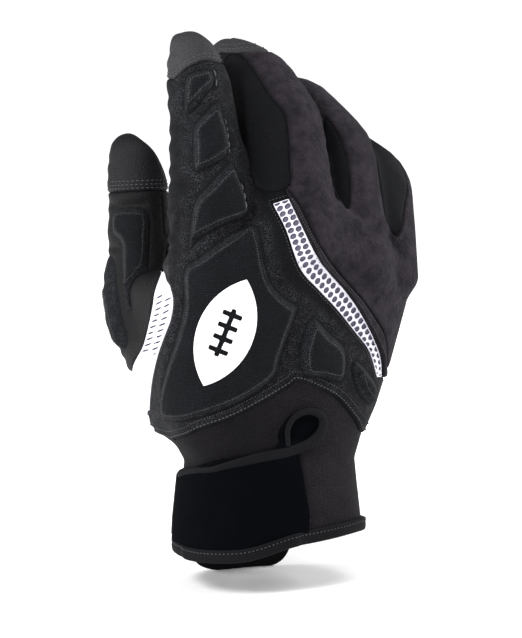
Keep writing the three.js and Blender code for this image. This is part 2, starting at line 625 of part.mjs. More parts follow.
// The mark: a football standing on the back pad
function football({ centre: [x, y], length, width, lean }) {
  const half = length / 2;
  const radius = (half * half + width * width / 4) / width;
  const reach = Math.asin(half / radius);
  const points = [];
  for (const side of [1, -1]) {
    for (let i = 0; i < MARK.sides; i += 1) {
      const angle = side * (-reach + 2 * reach * i / MARK.sides);
      points.push([radius * Math.sin(angle), side * (radius * Math.cos(angle) - radius + width / 2)]);
    }
  }
  const [c, s] = [Math.cos(rad(lean)), Math.sin(rad(lean))];
  return points.map(([px, py]) => [x + px * c - py * s, y + px * s + py * c]);
}
function laceSlots() {
  const { centre: [x, y], lean } = MARK;
  const [c, s] = [Math.cos(rad(lean)), Math.sin(rad(lean))];
  const slot = (px, py, length, width) => [[-1, -1], [1, -1], [1, 1], [-1, 1]].map(([m, n]) => {
    const [qx, qy] = [px + m * length / 2, py + n * width / 2];
    return [x + qx * c - qy * s, y + qx * s + qy * c];
  });
  const slots = [slot(0, 0, LACE.length, LACE.width)];
  for (let i = 0; i < LACE.bars; i += 1) {
    const place = ((i + 0.5) / LACE.bars - 0.5) * LACE.length;
    slots.push(slot(place, 0, LACE.barWidth, LACE.barLength));
  }
  return together(slots.map((points) => prism(points)));
}
const padTop = GAP + PAD;
const markLayer = handForm(padTop + GAP + MARK.height).subtract(handForm(padTop + GAP));
addNode('back_mark', markLayer.intersect(prism(football(MARK)).intersect(padBack))
  .subtract(laceSlots()), 'mark');

// Cuff, its bound hem, the strap and the pull tab
addNode('wrist_cuff', wristCuff, 'neoprene');
const hemBand = handBody(GAP + BINDING).subtract(handBody(GAP))
  .intersect(hemCut(HEM_BAND)).subtract(hemCut(0));
addNode('hem_binding', hemBand, 'binding');
const strapLayer = handForm(GAP + STRAP).subtract(handForm(GAP));
const strapBehind = block([-WIDE, STRAP_SEAM - STRAP_LAP, STRAP_BEHIND.low],
  [STRAP_BEHIND.end, WIDE, STRAP_BEHIND.high]);
const strapFront = prism(STRAP_FRONT)
  .intersect(block([-WIDE, -WIDE, -WIDE], [WIDE, STRAP_SEAM, WIDE]));
const strap = strapLayer.intersect(strapFront.add(strapBehind)).subtract(hemCut(HEM_BAND + GAP));
addNode('wrist_strap', strap, 'leather');

const tabZone = prism(PULL_TAB).intersect(block([-WIDE, TAB.behind, -WIDE], [WIDE, WIDE, WIDE]));
const tabBody = handBody(0).subtract(handBody(-TAB.thickness)).intersect(tabZone)
  .intersect(hemCut(-GAP));
addNode('pull_tab', tabBody, 'binding');

// The glove
const glove = new THREE.Group();
glove.name = 'football_glove';
for (const { name, piece, look } of nodes) {
  const { vertProperties, triVerts, numProp } = piece.getMesh();
  const positions = [];
  for (let i = 0; i < vertProperties.length; i += numProp) {
    positions.push(vertProperties[i], vertProperties[i + 1], vertProperties[i + 2]);
  }
  const geometry = new THREE.BufferGeometry();
  geometry.setAttribute('position', new THREE.Float32BufferAttribute(positions, 3));
  geometry.setIndex(Array.from(triVerts));
  geometry.computeVertexNormals();
  const mesh = new THREE.Mesh(geometry, materials[look]);
  mesh.name = name;
  glove.add(mesh);
}
export default glove;
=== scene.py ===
# %% [markdown]
# # A padded football glove
# The packed model gives the solid frame of the glove: hollow, faceted pieces at their true size.
# This lesson sews the cloth that shows over it. One fine skin is grown round the shape of the
# hand, its panels are cut along their real seams, and pads, straps, piping, stitches and holes
# are added as geometry before any material is mixed.

# %% Load the frame
import math

import bpy
import numpy as np
from mathutils import Matrix, Vector
from mathutils.bvhtree import BVHTree
from mathutils.kdtree import KDTree


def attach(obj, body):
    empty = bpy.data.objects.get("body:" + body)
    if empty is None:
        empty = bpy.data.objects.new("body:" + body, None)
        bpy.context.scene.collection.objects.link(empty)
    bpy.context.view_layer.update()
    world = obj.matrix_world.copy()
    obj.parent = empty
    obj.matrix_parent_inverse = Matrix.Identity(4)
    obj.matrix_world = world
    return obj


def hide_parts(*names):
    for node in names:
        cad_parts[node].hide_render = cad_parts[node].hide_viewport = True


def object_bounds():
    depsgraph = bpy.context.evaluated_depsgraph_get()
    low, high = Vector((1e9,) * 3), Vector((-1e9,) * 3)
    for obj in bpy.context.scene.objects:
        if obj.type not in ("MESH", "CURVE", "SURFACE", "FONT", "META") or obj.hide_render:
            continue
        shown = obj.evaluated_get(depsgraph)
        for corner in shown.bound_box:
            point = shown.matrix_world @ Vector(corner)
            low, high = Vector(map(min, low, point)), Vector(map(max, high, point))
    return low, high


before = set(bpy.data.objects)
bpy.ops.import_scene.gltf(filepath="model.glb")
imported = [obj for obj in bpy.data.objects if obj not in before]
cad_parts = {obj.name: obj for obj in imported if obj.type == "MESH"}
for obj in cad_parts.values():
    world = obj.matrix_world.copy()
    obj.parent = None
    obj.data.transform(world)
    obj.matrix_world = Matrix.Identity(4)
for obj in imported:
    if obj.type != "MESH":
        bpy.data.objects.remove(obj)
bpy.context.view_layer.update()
BODY = "root"
MM = 0.001
TURN = 2 * math.pi
print("solids in the frame:", len(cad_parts))

# %% [markdown]
# ## The eye
# Most seams of the glove show from one side, so they are drawn on an outline plane that faces
# the viewer. A point of the glove reaches that plane along a line to the eye. The same eye is
# the camera later, so a seam drawn here lands on the same place of the picture.

# %% The outline plane
VIEW_TURN = 25.0
VIEW_DIP = 8.0
VIEW_FAR = 1600.0
VIEW_CENTRE = np.array([-3.5, 96.0])
turn, dip = math.radians(VIEW_TURN), math.radians(VIEW_DIP)
SIGHT = np.array([math.sin(turn) * math.cos(dip), math.cos(turn) * math.cos(dip), -math.sin(dip)])
RIGHT = np.array([math.cos(turn), -math.sin(turn), 0.0])
UP = np.cross(RIGHT, SIGHT)
EYE = RIGHT * VIEW_CENTRE[0] + UP * VIEW_CENTRE[1] - SIGHT * VIEW_FAR


def on_plane(points):
    """Where points appear on the outline plane, in mm across and up."""
    away = points - EYE
    far = away @ SIGHT
    return VIEW_CENTRE + np.stack([away @ RIGHT, away @ UP], 1) * (VIEW_FAR / far)[:, None]


print("eye at", EYE.round(1), "mm")

# %% [markdown]
# ## The hand inside
# A glove takes the form of the hand that fills it, so the form is described as a hand: fingers
# that bend at their joints, a web beside the thumb, and sections of the palm and wrist. Boxes
# with a subdivision surface could give the same form, but tables keep each size plain to read,
# and the pads can later follow the fingers by the same numbers.

# %% The fingers' sizes
# root, roll and lean and bend in degrees, bone lengths, and half widths and depths along them
FINGERS = {
    "index": dict(
        root=(-26.5, -4, 116), roll=-22, lean=(-4.5, -2, 0), bend=(3, 8, 8), bones=(52, 28, 26.5),
        width=(19.4, 18.6, 16.0, 14.2, 13.2, 12.4), depth=(16.5, 16.0, 15.2, 14.0, 12.4, 10.6)),
    "middle": dict(
        root=(6.6, -13, 126), roll=10, lean=(1.6, 0, 0), bend=(14, 32, 24), bones=(55, 31, 26),
        width=(18.6, 18.0, 17.2, 16.0, 14.2, 11.8), depth=(19.0, 19.0, 18.6, 16.8, 14.2, 11.2)),
    "ring": dict(
        root=(35, -11, 116), roll=20, lean=(8, 0, 0), bend=(18, 34, 28), bones=(53, 30, 27),
        width=(15.6, 15.6, 15.2, 14.2, 12.8, 11.2), depth=(16.4, 16.4, 16.0, 14.6, 12.6, 10.4)),
    "little": dict(
        root=(55.0, -2, 112), roll=38, lean=(13, 0, 0), bend=(12, 42, 34), bones=(41.5, 24.5, 24),
        width=(12.8, 14.8, 17.4, 14.6, 11.4, 10.0), depth=(14.2, 14.6, 14.2, 13.0, 11.6, 9.6)),
    "thumb": dict(
        root=(-26.5, 21, 58), roll=-65, lean=(-40, 28, 6), bend=(2, 6, -4), bones=(45, 41, 41.6),
        width=(17.0, 17.2, 16.2, 15.0, 14.4, 12.9), depth=(17.0, 16.8, 15.2, 13.6, 13.2, 11.0)),
    "web": dict(
        root=(-32.1, 19.5, 54.5), roll=-88, lean=(-6, 0, 0), bend=(-9.6, 0, 0),
        bones=(25.6, 14, 24), width=(16, 18.5, 23.5, 23, 22, 20),
        depth=(12.4, 12, 13.3, 12, 10.5, 9)),
}
# height, centre x and y, half width and depth, and the arch towards the palm in 1/mm
HAND = np.array([
    (-18, 0.4, 0, 43.2, 33.0, 0), (36, 0.2, 0, 38.0, 28, 0), (46, -0.5, 0, 43, 27, 0.0005),
    (58, 1, 0, 49, 26, 0.0012), (76, 4, 0, 54, 25, 0.0018), (100, 7.5, -3, 57.8, 24, 0.0024),
    (122, 9.8, -6, 55.8, 22, 0.003), (146, 12, -7, 52, 18, 0.0034)])
KNUCKLE_LINE = np.array([(-30, 122), (-8, 142), (10, 144), (25, 138), (45, 126), (60, 116)])
PALM_POWER = 2.5
PALM_SHARE = 0.9
TOP_ROUND = 10.0
TIP_ROUND = 13.0
STATIONS = 19
SUBSTEPS = 4
FAR = 30.0
BOX_MARGIN = 10
BLEND_LEAN = 13.0
BLEND_BEND = 6.5
TIP_POWER = {"index": 3.2, "thumb": 2.8}
USUAL_TIP_POWER = 2.3
# planes that shave a fingertip: a point and a direction on the outline plane, and a softness
SHAVED = {
    "index": [((-35.7, 220.0), (0.287, 0.958), 2.0), ((-26.9, 215.5), (0.66, 0.751), 2.0),
              ((-22.2, 210.9), (0.919, 0.394), 2.0), ((-41.3, 215.6), (-0.97, 0.24), 2.0)],
    "middle": [((-17.4, 217.8), (0.05, 0.999), 2.0), ((-0.9, 212.0), (0.447, 0.894), 2.5),
               ((-22.8, 216.5), (-0.65, 0.76), 2.0)],
    "thumb": [((-54.9, 173.8), (0.617, 0.787), 2.0), ((-46.6, 162.4), (0.905, 0.425), 2.0),
              ((-70.6, 173.4), (-0.877, 0.481), 2.0)]}
ROOT_CAP = 10.0


def ease(x):
    """0 below 0, 1 above 1, and a soft step between them."""
    t = np.clip(x, 0, 1)
    return t * t * (3 - 2 * t)


def follow(finger):
    """The finger's axis: stations along it with their frames and half sizes."""
    first, second, third = finger["bones"]
    total = first + second + third
    fine = np.linspace(0, total - TIP_ROUND, (STATIONS - 1) * SUBSTEPS + 1)
    roll = math.radians(finger["roll"])
    back = np.array([math.sin(roll), -math.cos(roll), 0])
    across = np.array([math.cos(roll), math.sin(roll), 0])
    last_step = ease((fine - first - second + BLEND_BEND) / (2 * BLEND_BEND))
    lean_steps = [1, ease((fine - first + BLEND_LEAN) / (2 * BLEND_LEAN)), last_step]
    bend_steps = [1, ease((fine - first + BLEND_BEND) / (2 * BLEND_BEND)), last_step]
    lean = np.radians(sum(a * s for a, s in zip(finger["lean"], lean_steps)))[:, None]
    bend = np.radians(sum(a * s for a, s in zip(finger["bend"], bend_steps)))[:, None]
    up = np.array([0, 0, 1.0])
    straight = up * np.cos(lean) + across * np.sin(lean)
    side = across * np.cos(lean) - up * np.sin(lean)
    ahead = straight * np.cos(bend) - back * np.sin(bend)
    away = back * np.cos(bend) + straight * np.sin(bend)
    steps = (ahead[1:] + ahead[:-1]) / 2 * (fine[1] - fine[0])
    centre = np.array(finger["root"], float) + np.concatenate([[[0, 0, 0]], np.cumsum(steps, 0)])
    places = [0, first / 2, first, first + second / 2, first + second, total]
    keep = slice(None, None, SUBSTEPS)
    s = fine[keep]
    return dict(s=s, centre=centre[keep], ahead=ahead[keep], away=away[keep], side=side[keep],
                width=np.interp(s, places, finger["width"]),
                depth=np.interp(s, places, finger["depth"]))


AXES = {name: follow(finger) for name, finger in FINGERS.items()}
LENGTHS = {name: sum(finger["bones"]) for name, finger in FINGERS.items()}
print("finger lengths in mm:", LENGTHS)

# %% [markdown]
# ### Distance to the hand
# Every later step asks how far a point is from the hand's surface. For a finger that is the
# distance to its bending axis, scaled by the section there. For the palm it is measured on a
# section with squared shoulders. The parts join softly, because cloth bridges the creases.

# %% Distance to a finger
FINGER_BLEND = 5.0
THUMB_BLEND = 12.0
WEB_BLEND = 7.0


def soft_join(a, b, width):
    """The smaller of two distances, rounded where they are alike."""
    h = np.clip(0.5 + 0.5 * (b - a) / width, 0, 1)
    return b * (1 - h) + a * h - width * h * (1 - h)


def to_finger(points, name):
    """Distance to one finger, the place along it, and the place across and behind it in mm."""
    axis = AXES[name]
    count = len(points)
    best = np.full(count, 1e9, np.float32)
    at = np.zeros(count, int)
    part = np.zeros(count, np.float32)
    for i in range(STATIONS - 1):
        step = axis["centre"][i + 1] - axis["centre"][i]
        away = points - axis["centre"][i]
        t = np.clip(away @ step / (step @ step), 0, 1)
        far = ((away - t[:, None] * step) ** 2).sum(1)
        nearer = far < best
        best = np.where(nearer, far, best)
        at = np.where(nearer, i, at)
        part = np.where(nearer, t, part)

    def blend(table):
        t = part[:, None] if table.ndim > 1 else part
        return table[at] * (1 - t) + table[at + 1] * t

    away = points - blend(axis["centre"])
    along = blend(axis["s"])
    last = along > axis["s"][-1] - 1e-4
    ends = last | (along < 1e-4)
    x, y, z = ((away * blend(axis[k])).sum(1) for k in ("side", "away", "ahead"))
    width, depth = blend(axis["width"]), blend(axis["depth"])
    power = np.where(last, TIP_POWER.get(name, USUAL_TIP_POWER), 2.0)
    section = (x / width) ** 2 + (y / depth) ** 2
    cap = np.where(last, TIP_ROUND, ROOT_CAP)
    q = (section ** (power / 2) + ends * np.abs(z / cap) ** power) ** (1 / power)
    reach = np.sqrt(x * x + y * y + z * z * ends)
    distance = np.where(q < 1e-3, -np.minimum(width, depth), reach * (1 - 1 / np.maximum(q, 1e-6)))
    along = along + np.where(last, np.maximum(z, 0), 0)
    for (u, v), (across, up), soft in SHAVED.get(name, ()):
        plane = points @ (RIGHT * across + UP * up) - (u * across + v * up)
        distance = -soft_join(-distance, -plane, soft)
    return distance, along, x, y, width, depth


test_point = np.array([[0.0, -200.0, 60.0]])
print("from the test point to the thumb:", to_finger(test_point, "thumb")[0].round(1), "mm")

# %% Distance to the palm and the whole hand
def to_palm(points):
    """Distance to the palm and wrist."""
    z = np.clip(points[:, 2], HAND[0, 0], HAND[-1, 0])
    x0, y0, width, depth, arch = (np.interp(z, HAND[:, 0], HAND[:, i]) for i in range(1, 6))
    x = points[:, 0] - x0
    y = points[:, 1] - y0 - arch * x * x
    top = np.interp(points[:, 0], *KNUCKLE_LINE.T)
    over = np.maximum(points[:, 2] - top, 0)
    q = (np.abs(x / width) ** PALM_POWER + np.abs(y / depth) ** PALM_POWER
         + (over / TOP_ROUND) ** PALM_POWER) ** (1 / PALM_POWER)
    reach = np.sqrt(x * x + y * y + over**2)
    return np.where(q < 1e-3, -depth, reach * (1 - 1 / np.maximum(q, 1e-6)) * PALM_SHARE)


BOXES = {name: (axis["centre"].min(0) - FAR - BOX_MARGIN,
                axis["centre"].max(0) + FAR + BOX_MARGIN) for name, axis in AXES.items()}


def near_finger(points, name):
    low, high = BOXES[name]
    return ((points > low) & (points < high)).all(1)


def distance(points):
    """Distance from the form of the whole covered hand, below zero inside it."""
    total = to_palm(points)
    for name in FINGERS:
        near = near_finger(points, name)
        mine = np.full(len(points), FAR)
        mine[near] = to_finger(points[near], name)[0]
        width = {"thumb": THUMB_BLEND, "web": WEB_BLEND}.get(name, FINGER_BLEND)
        total = soft_join(total, mine, width)
    return total


def unit(vectors):
    """The same directions, each with the length 1."""
    return vectors / np.maximum(np.linalg.norm(vectors, axis=1), 1e-9)[:, None]


def slope(points, here):
    """Outward direction of the distance field, from its value at the points."""
    nudge = 0.4
    parts = [distance(points + nudge * np.eye(3)[i]) - here for i in range(3)]
    return unit(np.stack(parts, 1))


print("from the test point to the hand:", distance(test_point).round(1), "mm")

# %% [markdown]
# ## Growing the skin
# A mesh round such a form could come from metaballs or a voxel remesh, but both lose the exact
# place of the surface. Here the surface is netted: space near the form is cut into small
# cells, each cell that the surface crosses gets one point, and points of neighbouring cells
# are joined into quads. Then each point is moved onto the surface.

# %% Distances on a grid
CELL = 1.1
COARSE = 4
COARSE_BAND = 1.75
GRID_LOW = np.array([-66.0, -42.0, -19.0])
GRID_HIGH = np.array([78.0, 92.0, 226.0])


def enlarged(coarse, size):
    """A coarse grid's values, repeated for every point of the fine grid."""
    for axis in range(3):
        coarse = np.repeat(coarse, COARSE, axis)
    return coarse[: size[0] + 1, : size[1] + 1, : size[2] + 1]


def grid_values():
    """Distances on a grid, exact where the surface is near and rough elsewhere."""
    size = (np.ceil((GRID_HIGH - GRID_LOW) / CELL / COARSE).astype(int) + 1) * COARSE
    steps = [np.arange(0, n + 1, COARSE) for n in size]
    corners = np.stack(np.meshgrid(*steps, indexing="ij"), -1).reshape(-1, 3)
    rough = distance(GRID_LOW + corners * CELL).reshape([len(s) for s in steps])
    near = np.abs(rough) < COARSE * CELL * COARSE_BAND
    wide = near.copy()
    for axis in range(3):
        wide |= np.roll(near, -1, axis)
    values = enlarged(rough, size)
    places = np.argwhere(enlarged(wide, size))
    values[tuple(places.T)] = distance(GRID_LOW + places * CELL)
    return values


values = grid_values()
print("grid of", values.shape, "points")

# %% Net the surface
def net(values, cell):
    """Points and quads of the surface where the grid's values change sign."""
    inside = values < 0
    corners = [(i, j, k) for i in (0, 1) for j in (0, 1) for k in (0, 1)]
    n = np.array(values.shape) - 1

    def corner(a, c):
        return a[c[0]:c[0] + n[0], c[1]:c[1] + n[1], c[2]:c[2] + n[2]]

    total = sum(corner(inside, c).astype(np.int8) for c in corners)
    cells = (total > 0) & (total < 8)
    number = np.full(cells.shape, -1)
    place = np.argwhere(cells)
    number[tuple(place.T)] = np.arange(len(place))
    sums = np.zeros((len(place), 3))
    counts = np.zeros(len(place))
    for a in corners:
        for axis in range(3):
            if a[axis]:
                continue
            b = list(a)
            b[axis] = 1
            va = values[tuple((place + a).T)]
            vb = values[tuple((place + b).T)]
            cross = (va < 0) != (vb < 0)
            t = np.where(cross, va / np.where(cross, va - vb, 1), 0)
            spot = np.repeat(np.array([a], float), len(place), 0)
            spot[:, axis] += t
            sums += spot * cross[:, None]
            counts += cross
    points = GRID_LOW + (place + sums / counts[:, None]) * cell
    quads = []
    for axis in range(3):
        u, v = (axis + 1) % 3, (axis + 2) % 3
        first = np.take(inside, range(0, inside.shape[axis] - 1), axis)
        second = np.take(inside, range(1, inside.shape[axis]), axis)
        edges = np.argwhere(first != second)
        edges = edges[(edges[:, u] > 0) & (edges[:, v] > 0) & (edges[:, u] < n[u])
                      & (edges[:, v] < n[v])]
        flip = first[tuple(edges.T)]
        ring = []
        for du, dv in ((1, 1), (0, 1), (0, 0), (1, 0)):
            beside = edges.copy()
            beside[:, u] -= du
            beside[:, v] -= dv
            ring.append(number[tuple(beside.T)])
        ring = np.stack(ring, 1)
        quads.append(np.where(flip[:, None], ring, ring[:, ::-1]))
    return points, np.concatenate(quads)


def settle(points, rounds=2):
    """Moves points onto the surface and returns them with their outward normals."""
    for _ in range(rounds):
        here = distance(points)
        normal = slope(points, here)
        points = points - normal * np.clip(here, -1, 1)[:, None]
    return points, normal


points, quads = net(values, CELL)
points, normals = settle(points)
print("skin points:", len(points), "quads:", len(quads))

# %% [markdown]
# The netted points are uneven, which would show as noise in a polished surface. Each point is
# moved a little towards the middle of its neighbours and back onto the surface, a few times.

# %% Even out the skin
KEY = 1 << 24


def packed(a, b):
    """Two point numbers in one, lower first, so that edges can be compared at once."""
    return np.minimum(a, b) * KEY + np.maximum(a, b)


def unpacked(keys):
    return np.stack(np.divmod(keys, KEY), 1)


def edges_of(faces):
    """Every edge of the faces once, as sorted pairs of point numbers."""
    return unpacked(np.unique(packed(faces, np.roll(faces, -1, 1))))


def relax(points, faces, rounds=6, share=0.5):
    """Moves each point some way towards the middle of its neighbours."""
    pairs = edges_of(faces)
    counts = np.bincount(pairs.ravel(), minlength=len(points))
    for _ in range(rounds):
        middle = np.stack([
            np.bincount(pairs[:, 0], points[pairs[:, 1], i], len(points))
            + np.bincount(pairs[:, 1], points[pairs[:, 0], i], len(points))
            for i in range(3)], 1) / np.maximum(counts, 1)[:, None]
        points = points + (middle - points) * share * (counts > 3)[:, None]
    return points


points = relax(points, quads)
points, normals = settle(points)
a, b, c, d = (points[quads[:, i]] for i in range(4))
short = np.linalg.norm(a - c, axis=1) < np.linalg.norm(b - d, axis=1)
first = np.where(short[:, None], quads[:, [0, 1, 2]], quads[:, [0, 1, 3]])
second = np.where(short[:, None], quads[:, [0, 2, 3]], quads[:, [1, 2, 3]])
triangles = np.concatenate([first, second])
print("longest edge:", np.linalg.norm(a - b, axis=1).max().round(2), "mm")

# %% [markdown]
# ## Places on the glove
# Seams are found by asking each point of the skin where it lies: on the outline plane, along
# which finger, and on the back or the palm side of it. These questions are answered once and
# kept as columns beside the points.

# %% Where each point lies
SIDE_SEAM = np.array([(40, 3), (95, 3), (124, -8), (150, -8)])
MIXING = 2.0
MARK_HEIGHT = 4.6
LONG_FINGERS = ("index", "middle", "ring", "little")
# the columns kept for each finger, and what a point far away from it gets
FINGER_COLUMNS = {"far": FAR, "along": 0, "across": 0, "behind": 0, "wide": 10, "deep": 10}


def places_of(points, normals):
    """Columns that say where points lie."""
    found = {"facing": -(normals @ SIGHT)}
    found["u"], found["v"] = on_plane(points).T
    found["mark_u"], found["mark_v"] = on_plane(points + normals * MARK_HEIGHT).T
    found["palm"] = to_palm(points)
    found["hand_back"] = np.interp(points[:, 2], *SIDE_SEAM.T) - points[:, 1]
    for name in FINGERS:
        near = near_finger(points, name)
        answers = to_finger(points[near], name)
        for (key, missing), answer in zip(FINGER_COLUMNS.items(), answers):
            column = np.full(len(points), float(missing))
            column[near] = answer
            found[name + "_" + key] = column
    total, back = 0, 0
    for far, behind in [("palm", "hand_back")] + [(n + "_far", n + "_behind") for n in FINGERS]:
        share = np.exp(-np.maximum(found[far], -2) / MIXING)
        total, back = total + share, back + share * found[behind]
    found["back"] = back / total
    return found


print("the test point on the outline plane:", on_plane(test_point).round(1))

# %% [markdown]
# Outlines are short lists of points on the outline plane, and a smooth curve runs through them.
# The signed distance to such a curve tells on which side of a seam a point lies, and how far
# from the seam.

# %% Smooth lines
OUTSIDE = -12.0


def smooth_line(points, closed=True, steps=6):
    """A curve through the points, round between them, with a corner where a point repeats."""
    p = np.array(points, float)
    p = [p[-1], *p, p[0], p[1]] if closed else [p[0], *p, p[-1]]
    line = []
    for a, b, c, d in zip(p, p[1:], p[2:], p[3:]):
        if np.allclose(b, c):
            continue
        corner_b = np.allclose(a, b)
        corner_c = np.allclose(c, d)
        for t in np.arange(steps) / steps:
            before = (c - b) if corner_b else (c - a) / 2
            after = (c - b) if corner_c else (d - b) / 2
            line.append((2 * t**3 - 3 * t**2 + 1) * b + (t**3 - 2 * t**2 + t) * before
                        + (3 * t**2 - 2 * t**3) * c + (t**3 - t**2) * after)
    if not closed:
        line.append(p[-1])
    return np.array(line)


def to_step(x, y, start, step):
    """Which share of a step is nearest to each place, and how far off the place is in x and y."""
    x, y = x - start[0], y - start[1]
    t = np.clip((x * step[0] + y * step[1]) / max(step @ step, 1e-12), 0, 1)
    return t, x - t * step[0], y - t * step[1]


def near_line(u, v, line, margin):
    low, high = line.min(0) - margin, line.max(0) + margin
    return (u > low[0]) & (u < high[0]) & (v > low[1]) & (v < high[1])


def inside_line(u, v, line, margin=11.0):
    """Distance to a closed line on the outline plane, above zero inside it."""
    near = near_line(u, v, line, margin)
    answer = np.full(len(u), OUTSIDE)
    x, y = u[near], v[near]
    best = np.full(len(x), 1e9)
    odd = np.zeros(len(x), bool)
    for a, b in zip(line, np.roll(line, -1, 0)):
        step = b - a
        _, dx, dy = to_step(x, y, a, step)
        best = np.minimum(best, dx**2 + dy**2)
        crosses = (a[1] > y) != (b[1] > y)
        if step[1] != 0:
            odd ^= crosses & (x < a[0] + (y - a[1]) / step[1] * step[0])
    far = np.minimum(np.sqrt(best), -OUTSIDE)
    answer[near] = np.where(odd, far, -far)
    return answer


print("distance to a line beside it:", to_step(2.0, 1.0, (0.0, 0.0), np.array([4.0, 0.0]))[2])

# %% [markdown]
# The points below were read from the picture, in mm on the outline plane. Tracing them there is
# surer than guessing each seam in space, and a line that shows in the picture then has to land
# where it belongs. A list that ends in REACH leads round what the seam encloses.

# %% The outlines' points
BACK_PAD = [
    (-5.5, 136.5), (-12.5, 135), (-20.5, 130.5), (-30, 123), (-36, 118.5), (-37, 111),
    (-37, 102), (-40, 89), (-44.5, 74), (-47, 61), (-46.5, 52.5), (-46.5, 52.5), (-36.5, 51.5),
    (-21.5, 56), (-8.5, 62), (2.5, 71), (5, 79), (9, 90.5), (13, 101.5), (13, 101.5), (7, 105),
    (1.5, 111), (-1.5, 119.5), (-3, 128.5)]
INDEX_PADS = [
    [(-36, 201), (-33.5, 203), (-27.5, 204.5), (-24, 203), (-24, 197.5), (-27.5, 193.5),
     (-32, 187.5), (-36.5, 185.5), (-37, 194.5)],
    [(-33, 178.5), (-29.5, 184), (-22.5, 190.5), (-20, 185), (-17, 173.5), (-18.5, 167),
     (-31.5, 160), (-33, 170)],
    [(-17, 164), (-26.5, 154), (-32.5, 146.5), (-34.5, 133), (-34.5, 126.5), (-29.5, 131.5),
     (-20.5, 136.5), (-10, 141), (-9.5, 146.5), (-12.5, 156.5)]]
THUMB_PADS = [
    [(-66.5, 143.5), (-53.5, 143.5), (-52, 132.5), (-53, 115), (-57, 105), (-61, 99),
     (-62.5, 104), (-64, 118.5), (-64.5, 128.5), (-68, 134)],
    [(-70.5, 122.5), (-67.5, 121), (-66, 108.5), (-63.5, 94.5), (-61.5, 88), (-63, 82.5),
     (-68, 86.5), (-71, 96.5), (-72, 108)]]
WRIST_PADS = [
    [(18.5, 96.5), (26, 90), (33, 82.5), (32, 69.5), (22, 70.5), (15, 72), (13.5, 82)],
    [(36, 75), (38.5, 77.5), (45, 70.5), (47, 64.5), (44.5, 58.5), (38.5, 64.5)]]
MESH_LEFT = [(1.5, 146.5), (7.5, 134.5), (13.5, 118), (22, 108.5), (30, 100), (38, 90),
             (44, 82), (47.5, 70.5)]
MESH_RIGHT = [(49.5, 70.5), (49, 79), (46, 87.5), (40.5, 98), (34, 107.5), (25, 117.5),
              (21.5, 122.5), (14, 137.5), (8.5, 148.5)]
SUEDE_EDGE = [(51.5, 70.5), (50.5, 86.5), (47.5, 94), (40.5, 104.5), (30, 116.5), (22, 128),
              (14, 144), (9.5, 150.5), (6.5, 154)]
SUEDE_REACH = [(9.1, 154), (9.1, 165), (6.8, 186), (0.7, 193), (-4.8, 202), (-9.6, 208.5),
               (-16, 216), (-30, 260), (150, 260), (150, 70.5)]
THUMB_MESH_LEFT = [(-46.5, 117.5), (-50, 108.5), (-51.5, 99.5), (-55, 85), (-60, 74),
                   (-60, 56.5)]
THUMB_MESH_RIGHT = [(-52.3, 56), (-52.1, 61), (-51.2, 69.5), (-49, 79.5), (-46, 88), (-43, 95.5),
                    (-42, 103.5), (-43.5, 110)]
WEB_FRONT = [(-36, 118), (-36, 106), (-38, 89), (-40, 74), (-40, 61.5), (-38, 40), (-60, 40)]
THUMB_REACH = [(-60, 30), (-200, 30), (-200, 300), (0, 300), (0, 117.5)]
CUFF_HUMP = [
    (-60, 40), (-48.5, 42.0), (-36.5, 44.8), (-30, 47.8), (-17, 52.4), (-4, 58.9), (9, 66.6),
    (12.5, 69), (20, 66.5), (30, 61), (37.5, 52), (42, 46), (60, 46)]
CUFF_REACH = [(60, 20), (-60, 20)]
STRAP_FRONT = [
    (-60, 29), (-37, 31), (-23.5, 34.5), (-12.5, 36.5), (-1.5, 38.5), (4, 41.5), (4.5, 47),
    (9, 53.5), (13.5, 56), (17.5, 56.5), (22, 54.5), (24, 51), (23, 46.5), (19.5, 43),
    (13.5, 38), (15, 26), (17.5, 11)]
STRAP_LOWER = [(16.5, -8), (-60, -12)]
PULL_TAB = [(-33.5, 12), (-33.5, 0), (-32.5, -9), (-26.5, -12.5), (-15, -13.6), (-5, -12.9),
            (5, -9), (9.5, -1), (9.5, 12)]
INDEX_CAP_EDGE = np.array([(-60, 200), (-41.5, 200.5), (-36.5, 205), (-30, 208.2),
                           (-26.5, 208.7), (-21.3, 207.4), (-10, 206)])
MIDDLE_CAP_LEVEL = 212.2
SIDE_OUTLINES = {
    "middle": [(-9.6, 208.4), (-4.8, 201.7), (0.7, 193.1), (6.8, 185.8), (8.6, 175), (9.1, 165),
               (9.1, 155), (5, 151.7), (-1.3, 151.3), (-5.6, 153.5), (-7.4, 158.3),
               (-10.9, 168.3), (-13.5, 180.9), (-16.5, 188.3), (-17.8, 194.8), (-18.7, 207.8),
               (-16, 211.3), (-12.6, 210.4)],
    "ring": [(24.3, 183.5), (28.7, 178.3), (32.2, 171.3), (34.3, 163), (35.2, 154.3),
             (34.8, 145.7), (32.2, 142.6), (29.1, 146.5), (27, 154.3), (25.2, 165.2),
             (23.9, 176.1)],
    "little": [(43.9, 172.6), (47.4, 170.9), (52.6, 167.4), (57, 162.6), (59.1, 156.5),
               (59.1, 148.7), (57.8, 139.1), (55.2, 132.2), (51.7, 135.7), (48.7, 143.5),
               (46.5, 154.3), (45.2, 165)]}
print("points of the large pad:", len(BACK_PAD))

# %% All outlines
def joined(*runs):
    """A closed line of runs, each smooth in itself, with corners between them."""
    return np.concatenate([smooth_line(run, closed=False) for run in runs])


